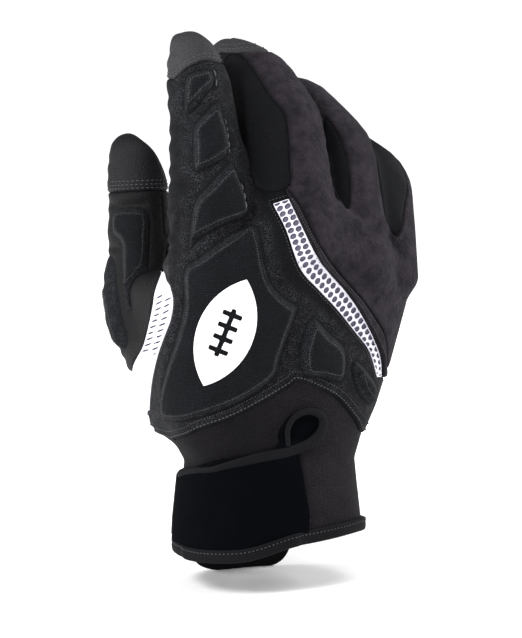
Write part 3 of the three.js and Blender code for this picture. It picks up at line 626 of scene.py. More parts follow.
OUTLINES = {
    "back_pad": smooth_line(BACK_PAD),
    "mesh": joined(MESH_LEFT, MESH_RIGHT),
    "suede": joined(SUEDE_EDGE, *[[p] for p in SUEDE_REACH]),
    "piping": joined(SUEDE_EDGE, MESH_RIGHT[::-1]),
    "thumb_mesh": joined(THUMB_MESH_LEFT, THUMB_MESH_RIGHT),
    "thumb_edge": joined(THUMB_MESH_LEFT, *[[p] for p in THUMB_REACH]),
    "web_front": joined(THUMB_MESH_RIGHT, [WEB_FRONT[0]], *[[p] for p in WEB_FRONT[1:]]),
    "hump": joined(CUFF_HUMP, *[[p] for p in CUFF_REACH]),
    "strap": joined(STRAP_FRONT, STRAP_LOWER),
    "tab": smooth_line(PULL_TAB),
}
for kind, outlines in (("index", INDEX_PADS), ("thumb", THUMB_PADS), ("wrist", WRIST_PADS)):
    for number, pad in enumerate(outlines, 1):
        OUTLINES[f"{kind}_pad_{number}"] = smooth_line(pad)
for name, outline in SIDE_OUTLINES.items():
    OUTLINES[name + "_side"] = smooth_line(outline)
PADS = [name for name in OUTLINES if "_pad" in name]
print("outlines:", len(OUTLINES), "of them pads:", len(PADS))

# %% [markdown]
# ## The seams
# Each panel of the glove is a zone: a number that is above zero inside the panel and tells the
# distance to its seam. Zones are built from the columns above with min for "and" and max for
# "or", which is quick to read and easy to move when the picture disagrees.

# %% Sizes of the zones
HEM_SLOPE = 0.08
HEM_RAISED, HEM_ACROSS, HEM_FRONT, HEM_FRONT_WIDTH = 3.8, 28, 4, 26
HEM_BAND = 5.0
CUFF_TOP = 46.0
# side, start and end along the finger of each side panel
SIDE_PANELS = {"index": (1, 42, 88), "middle": (-1, 34, 96), "ring": (-1, 34, 94),
               "little": (-1, 30, 78)}
SIDE_INNER, SIDE_BACK, SIDE_PALM, SIDE_SIGHT = 0.42, 0.74, 0.4, 0.35
SIDE_BEHIND, INDEX_SIDE_BEHIND = 0.2, -0.1
LEAF_CORNER = 5.0
CAPS = {"index": 15, "middle": 15, "thumb": 26}
NEAREST_SHARE, SIDE_OVERLAP = 0.5, 1
FRONT_SLOPE, FRONT_SHIFT = 10, 2.5
THUMB_MIXING, THUMB_NEAR, THUMB_PAD_NEAR = 8, 12, 4
INDEX_PAD_WRAP, THUMB_PAD_WRAP = 2, 1
SUEDE_SLOPE, SUEDE_SHIFT = 0.6, 1.5
MARK_CENTRE = np.array([-19.0, 90.0])
MARK_LENGTH, MARK_WIDTH, MARK_LEAN = 50.0, 25.0, 68.0
LACE_LENGTH, LACE_WIDTH, LACE_BARS, LACE_BAR = 22.0, 2.2, 4, 9.0
LACE_BAR_WIDTH, LACE_REACH = 2.2, 3
STRAP_BEHIND = (18.0, 1.0, 31.0)
STRAP_OVER_HEM, STRAP_OVERLAP = 1.2, 1
TAB_BEHIND, TAB_TOP = 4, 5
HOLE_PITCH, HOLE_COLUMNS = 2.75, 3.5
HOLE_SHIFT = 0.25
# half size along and across a strip, and lean, of its holes
HOLE_HALF = (1.15, 1.5, -0.1)
HOLE_MARGIN, HOLE_REACH = 0.4, 1
SLIT_HALF = (0.5, 1.5, -0.7)
SLIT_RANGE = (93.5, 13.0)
HAND_PARTS = ["palm"] + [name + "_far" for name in FINGERS]


def hem_height(x, y):
    """Height of the hem: it rises to one side, and more in front."""
    return (HEM_SLOPE * x + HEM_RAISED * ease((x + HEM_ACROSS) / HEM_ACROSS)
            * ease((-y - HEM_FRONT) / HEM_FRONT_WIDTH))


def nearest(found, name):
    """Above zero where the named finger is the nearest part of the hand."""
    others = [found[part] for part in HAND_PARTS if part != name + "_far"]
    return np.minimum.reduce(others) - found[name + "_far"]


def box_inside(x, y, half_x, half_y, corner=0.6):
    """Distance inside a rectangle with rounded corners."""
    dx, dy = np.abs(x) - half_x + corner, np.abs(y) - half_y + corner
    outer = np.hypot(np.maximum(dx, 0), np.maximum(dy, 0))
    return corner - outer - np.minimum(np.maximum(dx, dy), 0)


print("hem at the thumb's side:", round(float(hem_height(-38.0, 0.0)), 1), "mm")

# %% [markdown]
# The mark on the large pad is a football, drawn from two arcs, with its lace left open. The
# pierced strips have rows of oval holes. Both could be images, but an image would not leave an
# edge in the mesh, so they are zones like every panel and are cut out of the skin.

# %% The mark
def mark_inside(u, v):
    """The football mark: an ellipse with pointed ends, and the slots of its lace."""
    lean = math.radians(MARK_LEAN)
    du, dv = u - MARK_CENTRE[0], v - MARK_CENTRE[1]
    x = du * math.cos(lean) + dv * math.sin(lean)
    y = -du * math.sin(lean) + dv * math.cos(lean)
    half = MARK_LENGTH / 2
    radius = (half**2 + MARK_WIDTH**2 / 4) / MARK_WIDTH
    ball = radius - np.hypot(x, np.abs(y) + radius - MARK_WIDTH / 2)
    slots = box_inside(x, y, LACE_LENGTH / 2, LACE_WIDTH / 2)
    for i in range(LACE_BARS):
        place = ((i + 0.5) / LACE_BARS - 0.5) * LACE_LENGTH
        slots = np.maximum(slots, box_inside(x - place, y, LACE_BAR_WIDTH / 2, LACE_BAR / 2))
    return ball, slots


print("from the mark's middle to its edge:", mark_inside(*MARK_CENTRE)[0].round(1), "mm")

# %% The strips' holes
def read_along(s, run, line):
    """Places on a line at lengths s, where run holds the lengths at its own points."""
    return np.stack([np.interp(s, run, column) for column in line.T], 1)


def middle_line(left, right, count=60):
    """A line half way between two open lines that run the same way."""
    sides = []
    for side in (left, right):
        line = smooth_line(side, closed=False)
        run = np.concatenate([[0], np.cumsum(np.hypot(*np.diff(line, axis=0).T))])
        sides.append(read_along(np.linspace(0, run[-1], count), run, line))
    return (sides[0] + sides[1]) / 2


def along_line(x, y, line):
    """How far along a line the nearest place is, and how far to its side."""
    best = np.full(len(x), 1e9)
    along, aside = np.zeros(len(x)), np.zeros(len(x))
    start = 0.0
    for a, b in zip(line[:-1], line[1:]):
        step = b - a
        size = np.hypot(*step)
        t, dx, dy = to_step(x, y, a, step)
        far = dx**2 + dy**2
        nearer = far < best
        best = np.where(nearer, far, best)
        along = np.where(nearer, start + t * size, along)
        aside = np.where(nearer, (dx * step[1] - dy * step[0]) / size, aside)
        start += size
    return along, aside


def holes_inside(u, v, line, near, half):
    """The oval holes of a mesh strip, with every second column shifted a little."""
    answer = np.full(len(u), OUTSIDE)
    along, aside = along_line(u[near], v[near], line)
    column = np.floor(aside / HOLE_COLUMNS)
    shifted = along - HOLE_PITCH * HOLE_SHIFT * (column % 2)
    from_row = shifted - np.round(shifted / HOLE_PITCH) * HOLE_PITCH
    from_column = aside - (column + 0.5) * HOLE_COLUMNS
    oval = np.hypot((from_row + half[2] * from_column) / half[0], from_column / half[1])
    answer[near] = (1 - oval) * half[0]
    return answer


BACK_MESH_MIDDLE = middle_line(MESH_LEFT, MESH_RIGHT[::-1])
THUMB_MESH_MIDDLE = middle_line(THUMB_MESH_LEFT, THUMB_MESH_RIGHT[::-1])
print("the long strip runs from and to", BACK_MESH_MIDDLE[[0, -1]].round(1).tolist())

# %% [markdown]
# Now the zones themselves. A finger's side panel is a leaf between two others and mostly hidden,
# so it is written in the finger's own directions, and only its visible edge is an outline. The
# hidden half of the strap is a plain band, which is how such a strap is cut.

# %% Zones of the fingers
def thumb_zones(found, seen, front):
    """The thumb, its back, and the strip beside it."""
    thumb = np.minimum(found["thumb_far"], found["web_far"])
    share = ease(0.5 + (found["web_far"] - found["thumb_far"]) / THUMB_MIXING)
    behind = share * found["thumb_behind"] + (1 - share) * found["web_behind"]
    others = np.minimum.reduce([found["palm"]] + [found[name + "_far"] for name in LONG_FINGERS])
    return {"thumb_mesh": np.minimum(seen["thumb_mesh"], front),
            "thumb": np.minimum(others - thumb, np.maximum(-behind, seen["thumb_edge"])),
            "thumb_back": np.where(thumb < THUMB_NEAR, behind, OUTSIDE)}


def cap_zone(found, name):
    """A fingertip's cap: its length along the finger, or the line that shows in the picture."""
    tip = found[name + "_along"] - (LENGTHS[name] - CAPS[name])
    if name == "index":
        tip = found["v"] - np.interp(found["u"], *INDEX_CAP_EDGE.T)
    if name == "middle":
        tip = np.maximum(tip, found["v"] - MIDDLE_CAP_LEVEL)
    return np.minimum(tip, nearest(found, name) * NEAREST_SHARE)


def side_zone(found, seen, name):
    """The panel on a finger's side: a leaf where it is hidden, an outline where it shows."""
    side, start, end = SIDE_PANELS[name]
    across, behind = side * found[name + "_across"], found[name + "_behind"]
    wide, deep, along = (found[name + "_" + key] for key in ("wide", "deep", "along"))
    middle_along, half_along = (start + end) / 2, (end - start) / 2
    middle_up = (SIDE_BACK - SIDE_PALM) / 2 * deep
    half_up = (SIDE_BACK + SIDE_PALM) / 2 * deep
    leaf = box_inside(along - middle_along, behind - middle_up, half_along, half_up, LEAF_CORNER)
    panel = np.minimum(across - SIDE_INNER * wide, leaf)
    panel = np.minimum(panel, SIDE_BEHIND * deep - behind)
    if name == "index":
        panel = np.minimum(panel, INDEX_SIDE_BEHIND * deep - behind)
    else:
        sight = np.minimum(seen[name + "_side"], across + SIDE_SIGHT * wide)
        panel = np.maximum(panel, sight)
    return np.minimum(panel, nearest(found, name) * NEAREST_SHARE + SIDE_OVERLAP)


def pad_zone(found, seen, name, back_of_hand):
    """A pad's outline, on the back of its own finger alone."""
    behind = back_of_hand
    if name.startswith("thumb"):
        on_thumb = found["thumb_far"] < THUMB_PAD_NEAR
        behind = np.where(on_thumb, found["thumb_behind"] + THUMB_PAD_WRAP, OUTSIDE)
    if name.startswith("index"):
        behind = np.maximum(found["index_behind"] + INDEX_PAD_WRAP, found["hand_back"])
    return np.minimum(seen[name], behind)


print("side panels:", list(SIDE_PANELS), "caps:", list(CAPS))

# %% All zones
def hole_zone(u, v, zone):
    """The holes of the strip on the back, and the short slits of the thumb's strip."""
    back = holes_inside(u, v, BACK_MESH_MIDDLE, zone["mesh"] > -HOLE_REACH, HOLE_HALF)
    in_thumb_strip = zone["thumb_mesh"] > -HOLE_REACH
    thumb = holes_inside(u, v, THUMB_MESH_MIDDLE, in_thumb_strip, SLIT_HALF)
    in_slits = SLIT_RANGE[1] - np.abs(v - SLIT_RANGE[0])
    return np.maximum(np.minimum(back, zone["mesh"] - HOLE_MARGIN),
                      np.minimum.reduce([thumb, zone["thumb_mesh"] - HOLE_MARGIN, in_slits]))


def strap_zone(points, seen, hem):
    """The strap: its outline in front, and a plain band behind."""
    x, y, z = points.T
    end, low, high = STRAP_BEHIND
    behind = np.minimum.reduce([y + STRAP_OVERLAP, end - x, z - low, high - z])
    in_front = np.minimum.reduce([seen["strap"], STRAP_OVERLAP - y,
                                  hem - HEM_BAND + STRAP_OVER_HEM])
    return np.maximum(behind, in_front)


def zones_of(points, found):
    """Every zone's number at every point."""
    u, v = found["u"], found["v"]
    x, y, z = points.T
    seen = {name: inside_line(u, v, line) for name, line in OUTLINES.items()}
    hem = z - hem_height(x, y)
    front = found["facing"] * FRONT_SLOPE + FRONT_SHIFT
    zone = {"above_hem": hem, "hem_band": HEM_BAND - hem}
    zone["cuff"] = np.maximum(CUFF_TOP - z, np.minimum(seen["hump"], SIDE_SEAM[0, 1] - y))
    zone.update(thumb_zones(found, seen, front))
    zone["back"] = np.maximum(found["back"], np.minimum(seen["web_front"], front))
    for name in CAPS:
        zone[name + "_cap"] = cap_zone(found, name)
    for name in SIDE_PANELS:
        zone[name + "_side"] = side_zone(found, seen, name)
    not_index = found["index_far"] - np.minimum(found["middle_far"], found["palm"])
    back_of_hand = np.maximum(found["hand_back"], found["back"])
    zone["suede"] = np.minimum(seen["suede"], not_index * SUEDE_SLOPE + SUEDE_SHIFT)
    zone["piping"] = np.minimum(seen["piping"], back_of_hand)
    zone["mesh"] = np.minimum(seen["mesh"], back_of_hand)
    for name in PADS:
        zone[name] = pad_zone(found, seen, name, back_of_hand)
    ball, slots = mark_inside(found["mark_u"], found["mark_v"])
    zone["mark"] = np.minimum(ball, found["hand_back"])
    zone["lace"] = np.minimum(slots, zone["mark"] + LACE_REACH)
    zone["strap"] = strap_zone(points, seen, hem)
    zone["tab"] = np.minimum.reduce([seen["tab"], y - TAB_BEHIND, TAB_TOP - hem])
    zone["holes"] = hole_zone(u, v, zone)
    return zone


found = places_of(points, normals)
zone = zones_of(points, found)
print({name: int((value > 0).sum()) for name, value in zone.items()})

# %% [markdown]
# ## Finer near the seams
# A seam rolls in over a millimetre or two, finer than the skin's cells. Triangles whose corners
# all lie near a seam are split in four, and the new points are moved onto the surface. The
# pierced strips and the mark are split once more, because their outlines are small.

# %% Split triangles near seams
SEAM_REACH = 2.6
FINE_REACH = 1.4
BORDER_REACH = 0.8
OUTWARD_ROUNDS = 20
SEAMS = ["hem_band", "cuff", "thumb_mesh", "thumb", "thumb_back", "back",
         *[name + "_cap" for name in CAPS], *[name + "_side" for name in SIDE_PANELS],
         "suede", "piping", "mesh", "mark", "strap", "tab", "above_hem", *PADS]


def numbered(a, b):
    """The different edges among pairs of points, and the number of the edge of each pair."""
    keys, back = np.unique(packed(a, b), return_inverse=True)
    return unpacked(keys), back.ravel()


def new_points(triangles, cut, start):
    """The different cut edges, and the number of the new point on each triangle's edges."""
    a, b = triangles, np.roll(triangles, -1, 1)
    pairs, back = numbered(a[cut], b[cut])
    middle = np.full(triangles.shape, -1)
    middle[cut] = start + back
    return pairs, middle


def zero_share(value, pairs):
    """How far along each edge the value is zero."""
    first, second = value[pairs].T
    return (first / (first - second))[:, None]


def between(values, pairs, share):
    """Values part of the way along each edge."""
    return values[pairs[:, 0]] * (1 - share) + values[pairs[:, 1]] * share


def divide(points, triangles, marked):
    """Splits the edges whose two ends are both marked."""
    cut = marked[triangles] & marked[np.roll(triangles, -1, 1)]
    pairs, middle = new_points(triangles, cut, len(points))
    count = cut.sum(1)
    whole = triangles[count == 0]
    three = count == 3
    v, m = triangles[three].T, middle[three].T
    made = [whole, np.stack([v[0], m[0], m[2]], 1), np.stack([m[0], v[1], m[1]], 1),
            np.stack([m[2], m[1], v[2]], 1), np.stack([m[0], m[1], m[2]], 1)]
    for side in range(3):
        one = (count == 1) & cut[:, side]
        v0, v1, v2 = (triangles[one, (side + i) % 3] for i in range(3))
        m0 = middle[one, side]
        made += [np.stack([v0, m0, v2], 1), np.stack([m0, v1, v2], 1)]
    new = (points[pairs[:, 0]] + points[pairs[:, 1]]) / 2
    return new, np.concatenate(made)


def refine(points, normals, triangles, marked):
    """Splits the marked triangles and moves the new points onto the surface."""
    new, triangles = divide(points, triangles, marked)
    new, new_normals = settle(new, rounds=1)
    return np.concatenate([points, new]), np.concatenate([normals, new_normals]), triangles


close = np.abs(np.stack([zone[name] for name in SEAMS])).min(0)
points, normals, triangles = refine(points, normals, triangles, close < SEAM_REACH)
found = places_of(points, normals)
zone = zones_of(points, found)
small = np.minimum(np.abs(zone["mark"]), np.abs(zone["lace"]))
fine = (small < FINE_REACH) | (zone["mesh"] > -FINE_REACH) | (zone["thumb_mesh"] > -FINE_REACH)
for name in ("cuff", "suede", "index_cap", "strap"):
    fine |= (np.abs(zone[name]) < BORDER_REACH) & (found["hand_back"] > 0)
points, normals, triangles = refine(points, normals, triangles, fine)
outward = unit(relax(normals, triangles, rounds=OUTWARD_ROUNDS))
found = places_of(points, outward)
found["facing"] = -(normals @ SIGHT)
found.update(zip(("out_x", "out_y", "out_z"), outward.T))
zone = zones_of(points, found)
print("points:", len(points), "triangles:", len(triangles))

# %% [markdown]
# ## Cutting the panels
# A zone's border is where its number is zero. Each edge of the skin that crosses zero gets a
# point exactly there, so the seam is a clean line and not a staircase of triangles. Points
# that nearly lie on the seam are slid onto it first, which avoids slivers.

# %% The skin as one table
class Skin:
    """Points, normals and all named columns in one table, so that a cut treats them alike."""

    def __init__(self, points, normals, triangles, columns):
        self.names = {name: 6 + i for i, name in enumerate(columns)}
        self.table = np.column_stack([points, normals, *columns.values()])
        self.triangles = triangles
        self.pinned = np.zeros(len(points), bool)

    def __getitem__(self, name):
        return self.table[:, self.names[name]]

    @property
    def points(self):
        return self.table[:, :3]

    @property
    def normals(self):
        return unit(self.table[:, 3:6])

    def slide(self, name, share=0.25):
        """Slides free points that are close to the zero line onto it."""
        value = self[name]
        signs = value[self.triangles] > 0
        mixed = signs.any(1) & ~signs.all(1)
        pairs = edges_of(self.triangles[mixed])
        both = np.concatenate([pairs, pairs[:, ::-1]])
        a, b = both.T
        crossing = (value[a] > 0) != (value[b] > 0)
        t = np.where(crossing, value[a] / np.where(crossing, value[a] - value[b], 1), 1)
        able = crossing & (t < share) & ~self.pinned[a]
        order = np.argsort(-t[able])
        a, b, t = a[able][order], b[able][order], t[able][order]
        best = np.full(len(self.table), -1)
        best[a] = np.arange(len(a))
        chosen = best[best >= 0]
        a, b, t = a[chosen], b[chosen], t[chosen, None]
        self.table[a] += t * (self.table[b] - self.table[a])
        self.table[a, self.names[name]] = 0
        self.pinned[a] = True

    def cut(self, name):
        """Adds points along the zone's zero line and splits the triangles there."""
        self.slide(name)
        value = self[name]
        tri = self.triangles
        sign = np.sign(value)
        sign[np.abs(value) < 1e-9] = 0
        low, high = sign[tri].min(1), sign[tri].max(1)
        mixed = (low < 0) & (high > 0)
        kept, tri = tri[~mixed], tri[mixed]
        crossing = sign[tri] * sign[np.roll(tri, -1, 1)] < 0
        pairs, middle = new_points(tri, crossing, len(self.table))
        new = between(self.table, pairs, zero_share(value, pairs))
        new[:, self.names[name]] = 0
        self.table = np.concatenate([self.table, new])
        self.pinned = np.concatenate([self.pinned, np.ones(len(new), bool)])
        self.pinned[np.nonzero(sign == 0)[0]] = True
        made = [kept]
        for side in range(3):
            v0, v1, v2 = (tri[:, (side + i) % 3] for i in range(3))
            e0, e1, e2 = (middle[:, (side + i) % 3] for i in range(3))
            through = (e0 < 0) & (e2 < 0) & (e1 >= 0)
            made += [np.stack([v0, v1, e1], 1)[through], np.stack([v0, e1, v2], 1)[through]]
            lone = (e0 >= 0) & (e2 >= 0)
            made += [np.stack([v0, e0, e2], 1)[lone], np.stack([e0, v1, v2], 1)[lone],
                     np.stack([e0, v2, e2], 1)[lone]]
        self.triangles = np.concatenate(made)


def tidy(skin):
    """Drops triangles that have no area."""
    a, b, c = (skin.points[skin.triangles[:, i]] for i in range(3))
    area = np.linalg.norm(np.cross(b - a, c - a), axis=1) / 2
    skin.triangles = skin.triangles[area > 1e-7]


skin = Skin(points, normals, triangles, {**found, **zone})
for name in SEAMS + ["lace", "holes"]:
    skin.cut(name)
tidy(skin)
print("after the cuts:", len(skin.table), "points,", len(skin.triangles), "triangles")

# %% [markdown]
# Now each triangle belongs to one panel. The order matters: the cuff lies over everything, then
# the thumb, the sides of the fingers, the caps, the palm, and last the pieces of the back.

# %% Name the panels
middle_of = {name: skin[name][skin.triangles].mean(1) for name in zone}
inside = {name: value > 0 for name, value in middle_of.items()}
PANELS = ["back_panel", "back_piping", "back_mesh_strip", "knuckle_panel", "palm_panel",
          "index_fingertip_cap", "middle_fingertip_cap",
          *[name + "_side_panel" for name in SIDE_PANELS], "thumb_palm_panel",
          "thumb_back_panel", "thumb_tip", "thumb_mesh_strip", "wrist_cuff", "nothing"]
NUMBER = {name: i for i, name in enumerate(PANELS)}
panel = np.full(len(skin.triangles), NUMBER["back_panel"])
panel[inside["piping"]] = NUMBER["back_piping"]
panel[inside["mesh"]] = NUMBER["back_mesh_strip"]
panel[inside["suede"]] = NUMBER["knuckle_panel"]
panel[~inside["back"]] = NUMBER["palm_panel"]
for name in ("index", "middle"):
    panel[inside[name + "_cap"]] = NUMBER[name + "_fingertip_cap"]
for name in SIDE_PANELS:
    panel[inside[name + "_side"]] = NUMBER[name + "_side_panel"]
thumb = inside["thumb"]
panel[thumb] = np.where(inside["thumb_back"][thumb], NUMBER["thumb_back_panel"],
                        NUMBER["thumb_palm_panel"])
panel[thumb & inside["thumb_cap"]] = NUMBER["thumb_tip"]
panel[inside["thumb_mesh"]] = NUMBER["thumb_mesh_strip"]
panel[inside["cuff"]] = NUMBER["wrist_cuff"]
panel[~inside["above_hem"]] = NUMBER["nothing"]
print({name: int((panel == i).sum()) for name, i in NUMBER.items()})

# %% [markdown]
# ## Seams, pads and fullness
# Sewn cloth dips into its seams, and a quilted pad pulls the cloth in round its rim. A cloth
# simulation could find that form, but here it is written as heights over the skin: a quarter
# round beside every seam, a rise for the piping and the suede, and a sunk strip for the mesh.
# Long soft ridges and dents are the folds that the picture shows.

# %% Borders between panels
def border_edges(triangles, labels):
    """Edges between two labels: their two points, and the two labels."""
    a, b = triangles.ravel(), np.roll(triangles, -1, 1).ravel()
    owner = np.repeat(labels, 3)
    key = packed(a, b)
    order = np.argsort(key, kind="stable")
    key, owner = key[order], owner[order]
    differ = (key[1:] == key[:-1]) & (owner[1:] != owner[:-1])
    return unpacked(key[1:][differ]), np.stack([owner[:-1][differ], owner[1:][differ]], 1)


def to_line(points, line_points, near, reach):
    """Distance from each of the near points to the closest of the line's points."""
    tree = KDTree(len(line_points))
    for i, place in enumerate(line_points.tolist()):
        tree.insert(place, i)
    tree.balance()
    far = np.full(len(points), float(reach))
    numbers = np.nonzero(near)[0]
    far[numbers] = [min(tree.find(place)[2], reach) for place in points[numbers].tolist()]
    return far


on_pad = np.zeros(len(skin.triangles), int)
for number, name in enumerate(PADS, 1):
    on_pad[inside[name] & (panel != NUMBER["nothing"])] = number
seam_pairs, sides = border_edges(skin.triangles, panel)
seam_pairs = seam_pairs[(sides != NUMBER["nothing"]).all(1)]
quilt_pairs, _ = border_edges(skin.triangles, on_pad)
near_seam = np.abs(np.stack([skin[name] for name in SEAMS])).min(0) < SEAM_REACH
seam_far, quilt_far = (
    to_line(skin.points, skin.points[np.unique(pairs)], near_seam, SEAM_REACH)
    for pairs in (seam_pairs, quilt_pairs))
print("seam edges:", len(seam_pairs), "pad edges:", len(quilt_pairs))

# %% [markdown]
# Most folds were read from the picture as well, as lines with a width and a height. Sculpting
# them by hand would also work, but a list is easy to correct and always gives the same cloth.

# %% Folds of the picture
PICTURE_ORIGIN = (269, 540)
PIXELS_PER_MM = 2.3


def from_picture(pairs):
    """Points of the outline plane in mm, from pixels of the picture."""
    left, low = PICTURE_ORIGIN
    return np.array([((x - left) / PIXELS_PER_MM, (low - y) / PIXELS_PER_MM) for x, y in pairs])


# pixels of the picture that each roll or fold runs through, its half width and its height
FOLDS = [
    ([(226, 60), (229, 92), (232, 107), (238, 124), (242, 138), (244, 153), (248, 170),
      (254, 184), (262, 191), (272, 193), (282, 191), (288, 184), (290, 170)], 1.3, 1.3),
    ([(330, 185), (336, 200), (342, 211), (348, 212), (350, 203), (350, 190)], 1.2, 1.1),
    ([(378, 214), (386, 229), (393, 237), (399, 234), (403, 220)], 1.2, 1.1),
    ([(346, 216), (352, 228), (364, 240), (372, 252)], 3.2, -1.1),
    ([(302, 121), (312, 126), (322, 131)], 1.6, -0.7),
    ([(296, 140), (310, 139), (322, 143)], 1.5, -0.45),
    ([(358, 143), (366, 148), (373, 150)], 1.4, -0.6),
    ([(360, 238), (370, 231), (383, 222)], 1.3, -0.8),
    ([(368, 246), (374, 236), (378, 226)], 1.1, -0.5),
    ([(306, 205), (318, 222), (336, 238)], 4.0, 0.7),
    ([(356, 262), (372, 268), (388, 284)], 4.0, 0.8),
    ([(352, 282), (366, 296), (378, 316)], 2.6, -0.7),
    ([(392, 238), (396, 262), (398, 290)], 2.2, -0.8),
    ([(300, 176), (308, 196), (322, 214)], 2.2, -0.5),
    ([(104, 203), (120, 206), (138, 204), (150, 203)], 1.6, -0.9),
    ([(104, 248), (112, 248), (120, 246)], 1.6, -1.4),
    ([(104, 226), (110, 226)], 3.5, 0.7),
    ([(180, 208), (176, 222), (171, 236), (163, 252)], 1.5, 1.3),
    ([(312, 92), (306, 104), (310, 118)], 2.0, -0.5),
    ([(287, 96), (300, 108), (306, 128)], 3.5, 0.6),
    ([(310, 150), (314, 168), (318, 186), (326, 204)], 3.0, 0.7),
    ([(346, 160), (352, 176), (360, 196), (372, 216)], 3.0, 0.6),
    ([(300, 210), (312, 232), (330, 252)], 2.2, -0.6),
    ([(330, 262), (352, 274), (372, 292)], 2.6, -0.6),
    ([(384, 262), (392, 284), (394, 306)], 2.5, 0.5),
    ([(396, 172), (404, 186), (408, 204)], 2.0, 0.7),
    ([(374, 140), (384, 148), (396, 160)], 1.6, 0.5),
    ([(168, 226), (176, 240), (182, 256)], 2.0, -0.7),
    ([(186, 286), (181, 300), (170, 340), (162, 380), (157, 418)], 3.0, 0.5),
    ([(312, 312), (320, 306), (332, 316)], 1.5, -0.6),
    ([(296, 330), (300, 352), (292, 372)], 2.4, -0.5),
    ([(250, 205), (262, 222), (270, 250)], 3.0, -0.5),
    ([(186, 455), (215, 448), (250, 436)], 2.5, 0.5),
    ([(330, 455), (345, 470), (358, 482)], 3.0, -0.6),
    ([(335, 490), (348, 500), (358, 512)], 3.0, 0.45),
    ([(178, 120), (186, 128), (190, 138)], 1.6, -0.6),
    ([(176, 150), (186, 156), (194, 160)], 1.5, -0.7),
    ([(176, 182), (186, 184), (196, 180)], 1.6, -0.7),
    ([(178, 205), (188, 210), (196, 212)], 1.6, -0.6),
]
FOLD_FACING = -0.2
FOLD_END, FOLD_REACH = 0.35, 3
FOLD_SHOWN, FOLD_TURN = 0.35, 2.5


def fold_heights(u, v, front):
    """All folds, fading at their ends and where the skin turns away from the eye."""
    total = np.zeros(len(u))
    for pixels, half, height in FOLDS:
        line = from_picture(pixels)
        near = near_line(u, v, line, FOLD_REACH * half) & (front > FOLD_FACING)
        smooth = smooth_line(line, closed=False, steps=4)
        along, aside = along_line(u[near], v[near], smooth)
        whole = np.hypot(*np.diff(smooth, axis=0).T).sum()
        far = np.hypot(u[near, None] - smooth[[0, -1], 0], v[near, None] - smooth[[0, -1], 1])
        at_end = (along < 1e-6) | (along > whole - 1e-6)
        aside = np.where(at_end, far.min(1), aside)
        fade = FOLD_END + (1 - FOLD_END) * ease(np.minimum(along, whole - along) / (2 * half))
        total[near] += height * np.exp(-((aside / half) ** 2)) * fade
    return total * ease(FOLD_SHOWN + front * FOLD_TURN)


print("folds:", len(FOLDS))

# %% [markdown]
# Pads and seams follow simple curves instead. A quarter round looks like cloth that is pulled
# down by its thread, and a pad rises in a soft slope to a low crown, as foam under cloth does.

# %% Heights over the skin
SEAM_DEPTH, SEAM_WIDTH = 1.0, 1.7
SUEDE_RISE, SUEDE_ROUND, SUEDE_FADE = 0.5, 1.2, 4
PIPING_RISE, PIPING_HALF = 1.0, 1.4
MESH_SINK, THUMB_MESH_SINK, MESH_EDGE = 0.6, 0.2, 0.8
CUFF_SINK, CUFF_ROUND = 0.9, 1.6
PAD_RISE, PAD_SLOPE, PAD_CROWN, PAD_CROWN_REACH = 3.4, 3.8, 0.9, 14
PAD_POWER = 0.85
PAD_SINK, PAD_SINK_REACH = 0.25, 2.4
PUCKER_PITCH, PUCKER_HEIGHT, PUCKER_START = 11.0, 0.32, 0.35
THUMB_PUCKER, MIDDLE_PUCKER, PUCKER_REACH = 0.7, 0.4, 3


def quarter(far, width):
    """1 on a seam and 0 beyond its width, round in between."""
    t = 1 - np.clip(far / width, 0, 1)
    return 1 - np.sqrt(1 - t**2)


def dome(inner, width):
    """0 on a border and 1 from the width inwards, round in between."""
    t = 1 - np.clip(inner / width, 0, 1)
    return np.sqrt(1 - t**2)


def pad_height(inner):
    """Height of a pad over the cloth: a soft slope, then a low crown."""
    return (PAD_RISE * ease(inner / PAD_SLOPE) ** PAD_POWER
            + PAD_CROWN * ease(inner / PAD_CROWN_REACH) - PAD_SINK)


def puckers(name, side):
    """Small waves beside the finger's side seam, where the thread gathers the cloth."""
    across = side * skin[name + "_across"] / skin[name + "_wide"]
    near = (skin[name + "_far"] < PUCKER_REACH) * ease((across - PUCKER_START) / PUCKER_START)
    turns = skin[name + "_along"] * TURN / PUCKER_PITCH
    # waves whose lengths don't divide each other, so that no two puckers are alike
    wave = 1.5 * np.sin(turns * 0.43 + 1.3 * np.sin(turns * 0.77)) + 0.5 * np.sin(turns * 1.9)
    return PUCKER_HEIGHT * near * wave


lift = -SEAM_DEPTH * quarter(seam_far, SEAM_WIDTH)
lift -= PAD_SINK * np.where(quilt_far < SEAM_REACH, ease(1 - quilt_far / PAD_SINK_REACH), 0)
lift += SUEDE_RISE * dome(skin["suede"], SUEDE_ROUND) * ease(skin["back"] / SUEDE_FADE)
lift += PIPING_RISE * dome(np.minimum(skin["piping"], PIPING_HALF), PIPING_HALF)
lift -= (MESH_SINK * ease(skin["mesh"] / MESH_EDGE)
         + THUMB_MESH_SINK * ease(skin["thumb_mesh"] / MESH_EDGE))
lift -= CUFF_SINK * dome(skin["cuff"], CUFF_ROUND)
lift += fold_heights(skin["u"], skin["v"], skin["facing"])
lift += (puckers("index", -1) + puckers("thumb", -1) * THUMB_PUCKER
         + puckers("middle", 1) * MIDDLE_PUCKER)
cloth = skin.points + skin.normals * lift[:, None]
outward = unit(np.stack([skin[name] for name in ("out_x", "out_y", "out_z")], 1))
pads_far = -np.maximum.reduce([skin[name] for name in PADS])
print("heights from", lift.min().round(2), "to", lift.max().round(2), "mm")

# %% [markdown]
# ## Making pieces
# A piece is a copy of part of the skin. A panel is one layer, because the lining closes it
# from inside. A pad, the mark and the strap are closed forms: a top, a bottom, and a wall
# where the border is.

# %% Piece maker
PAD_FAR_LIMIT = 12


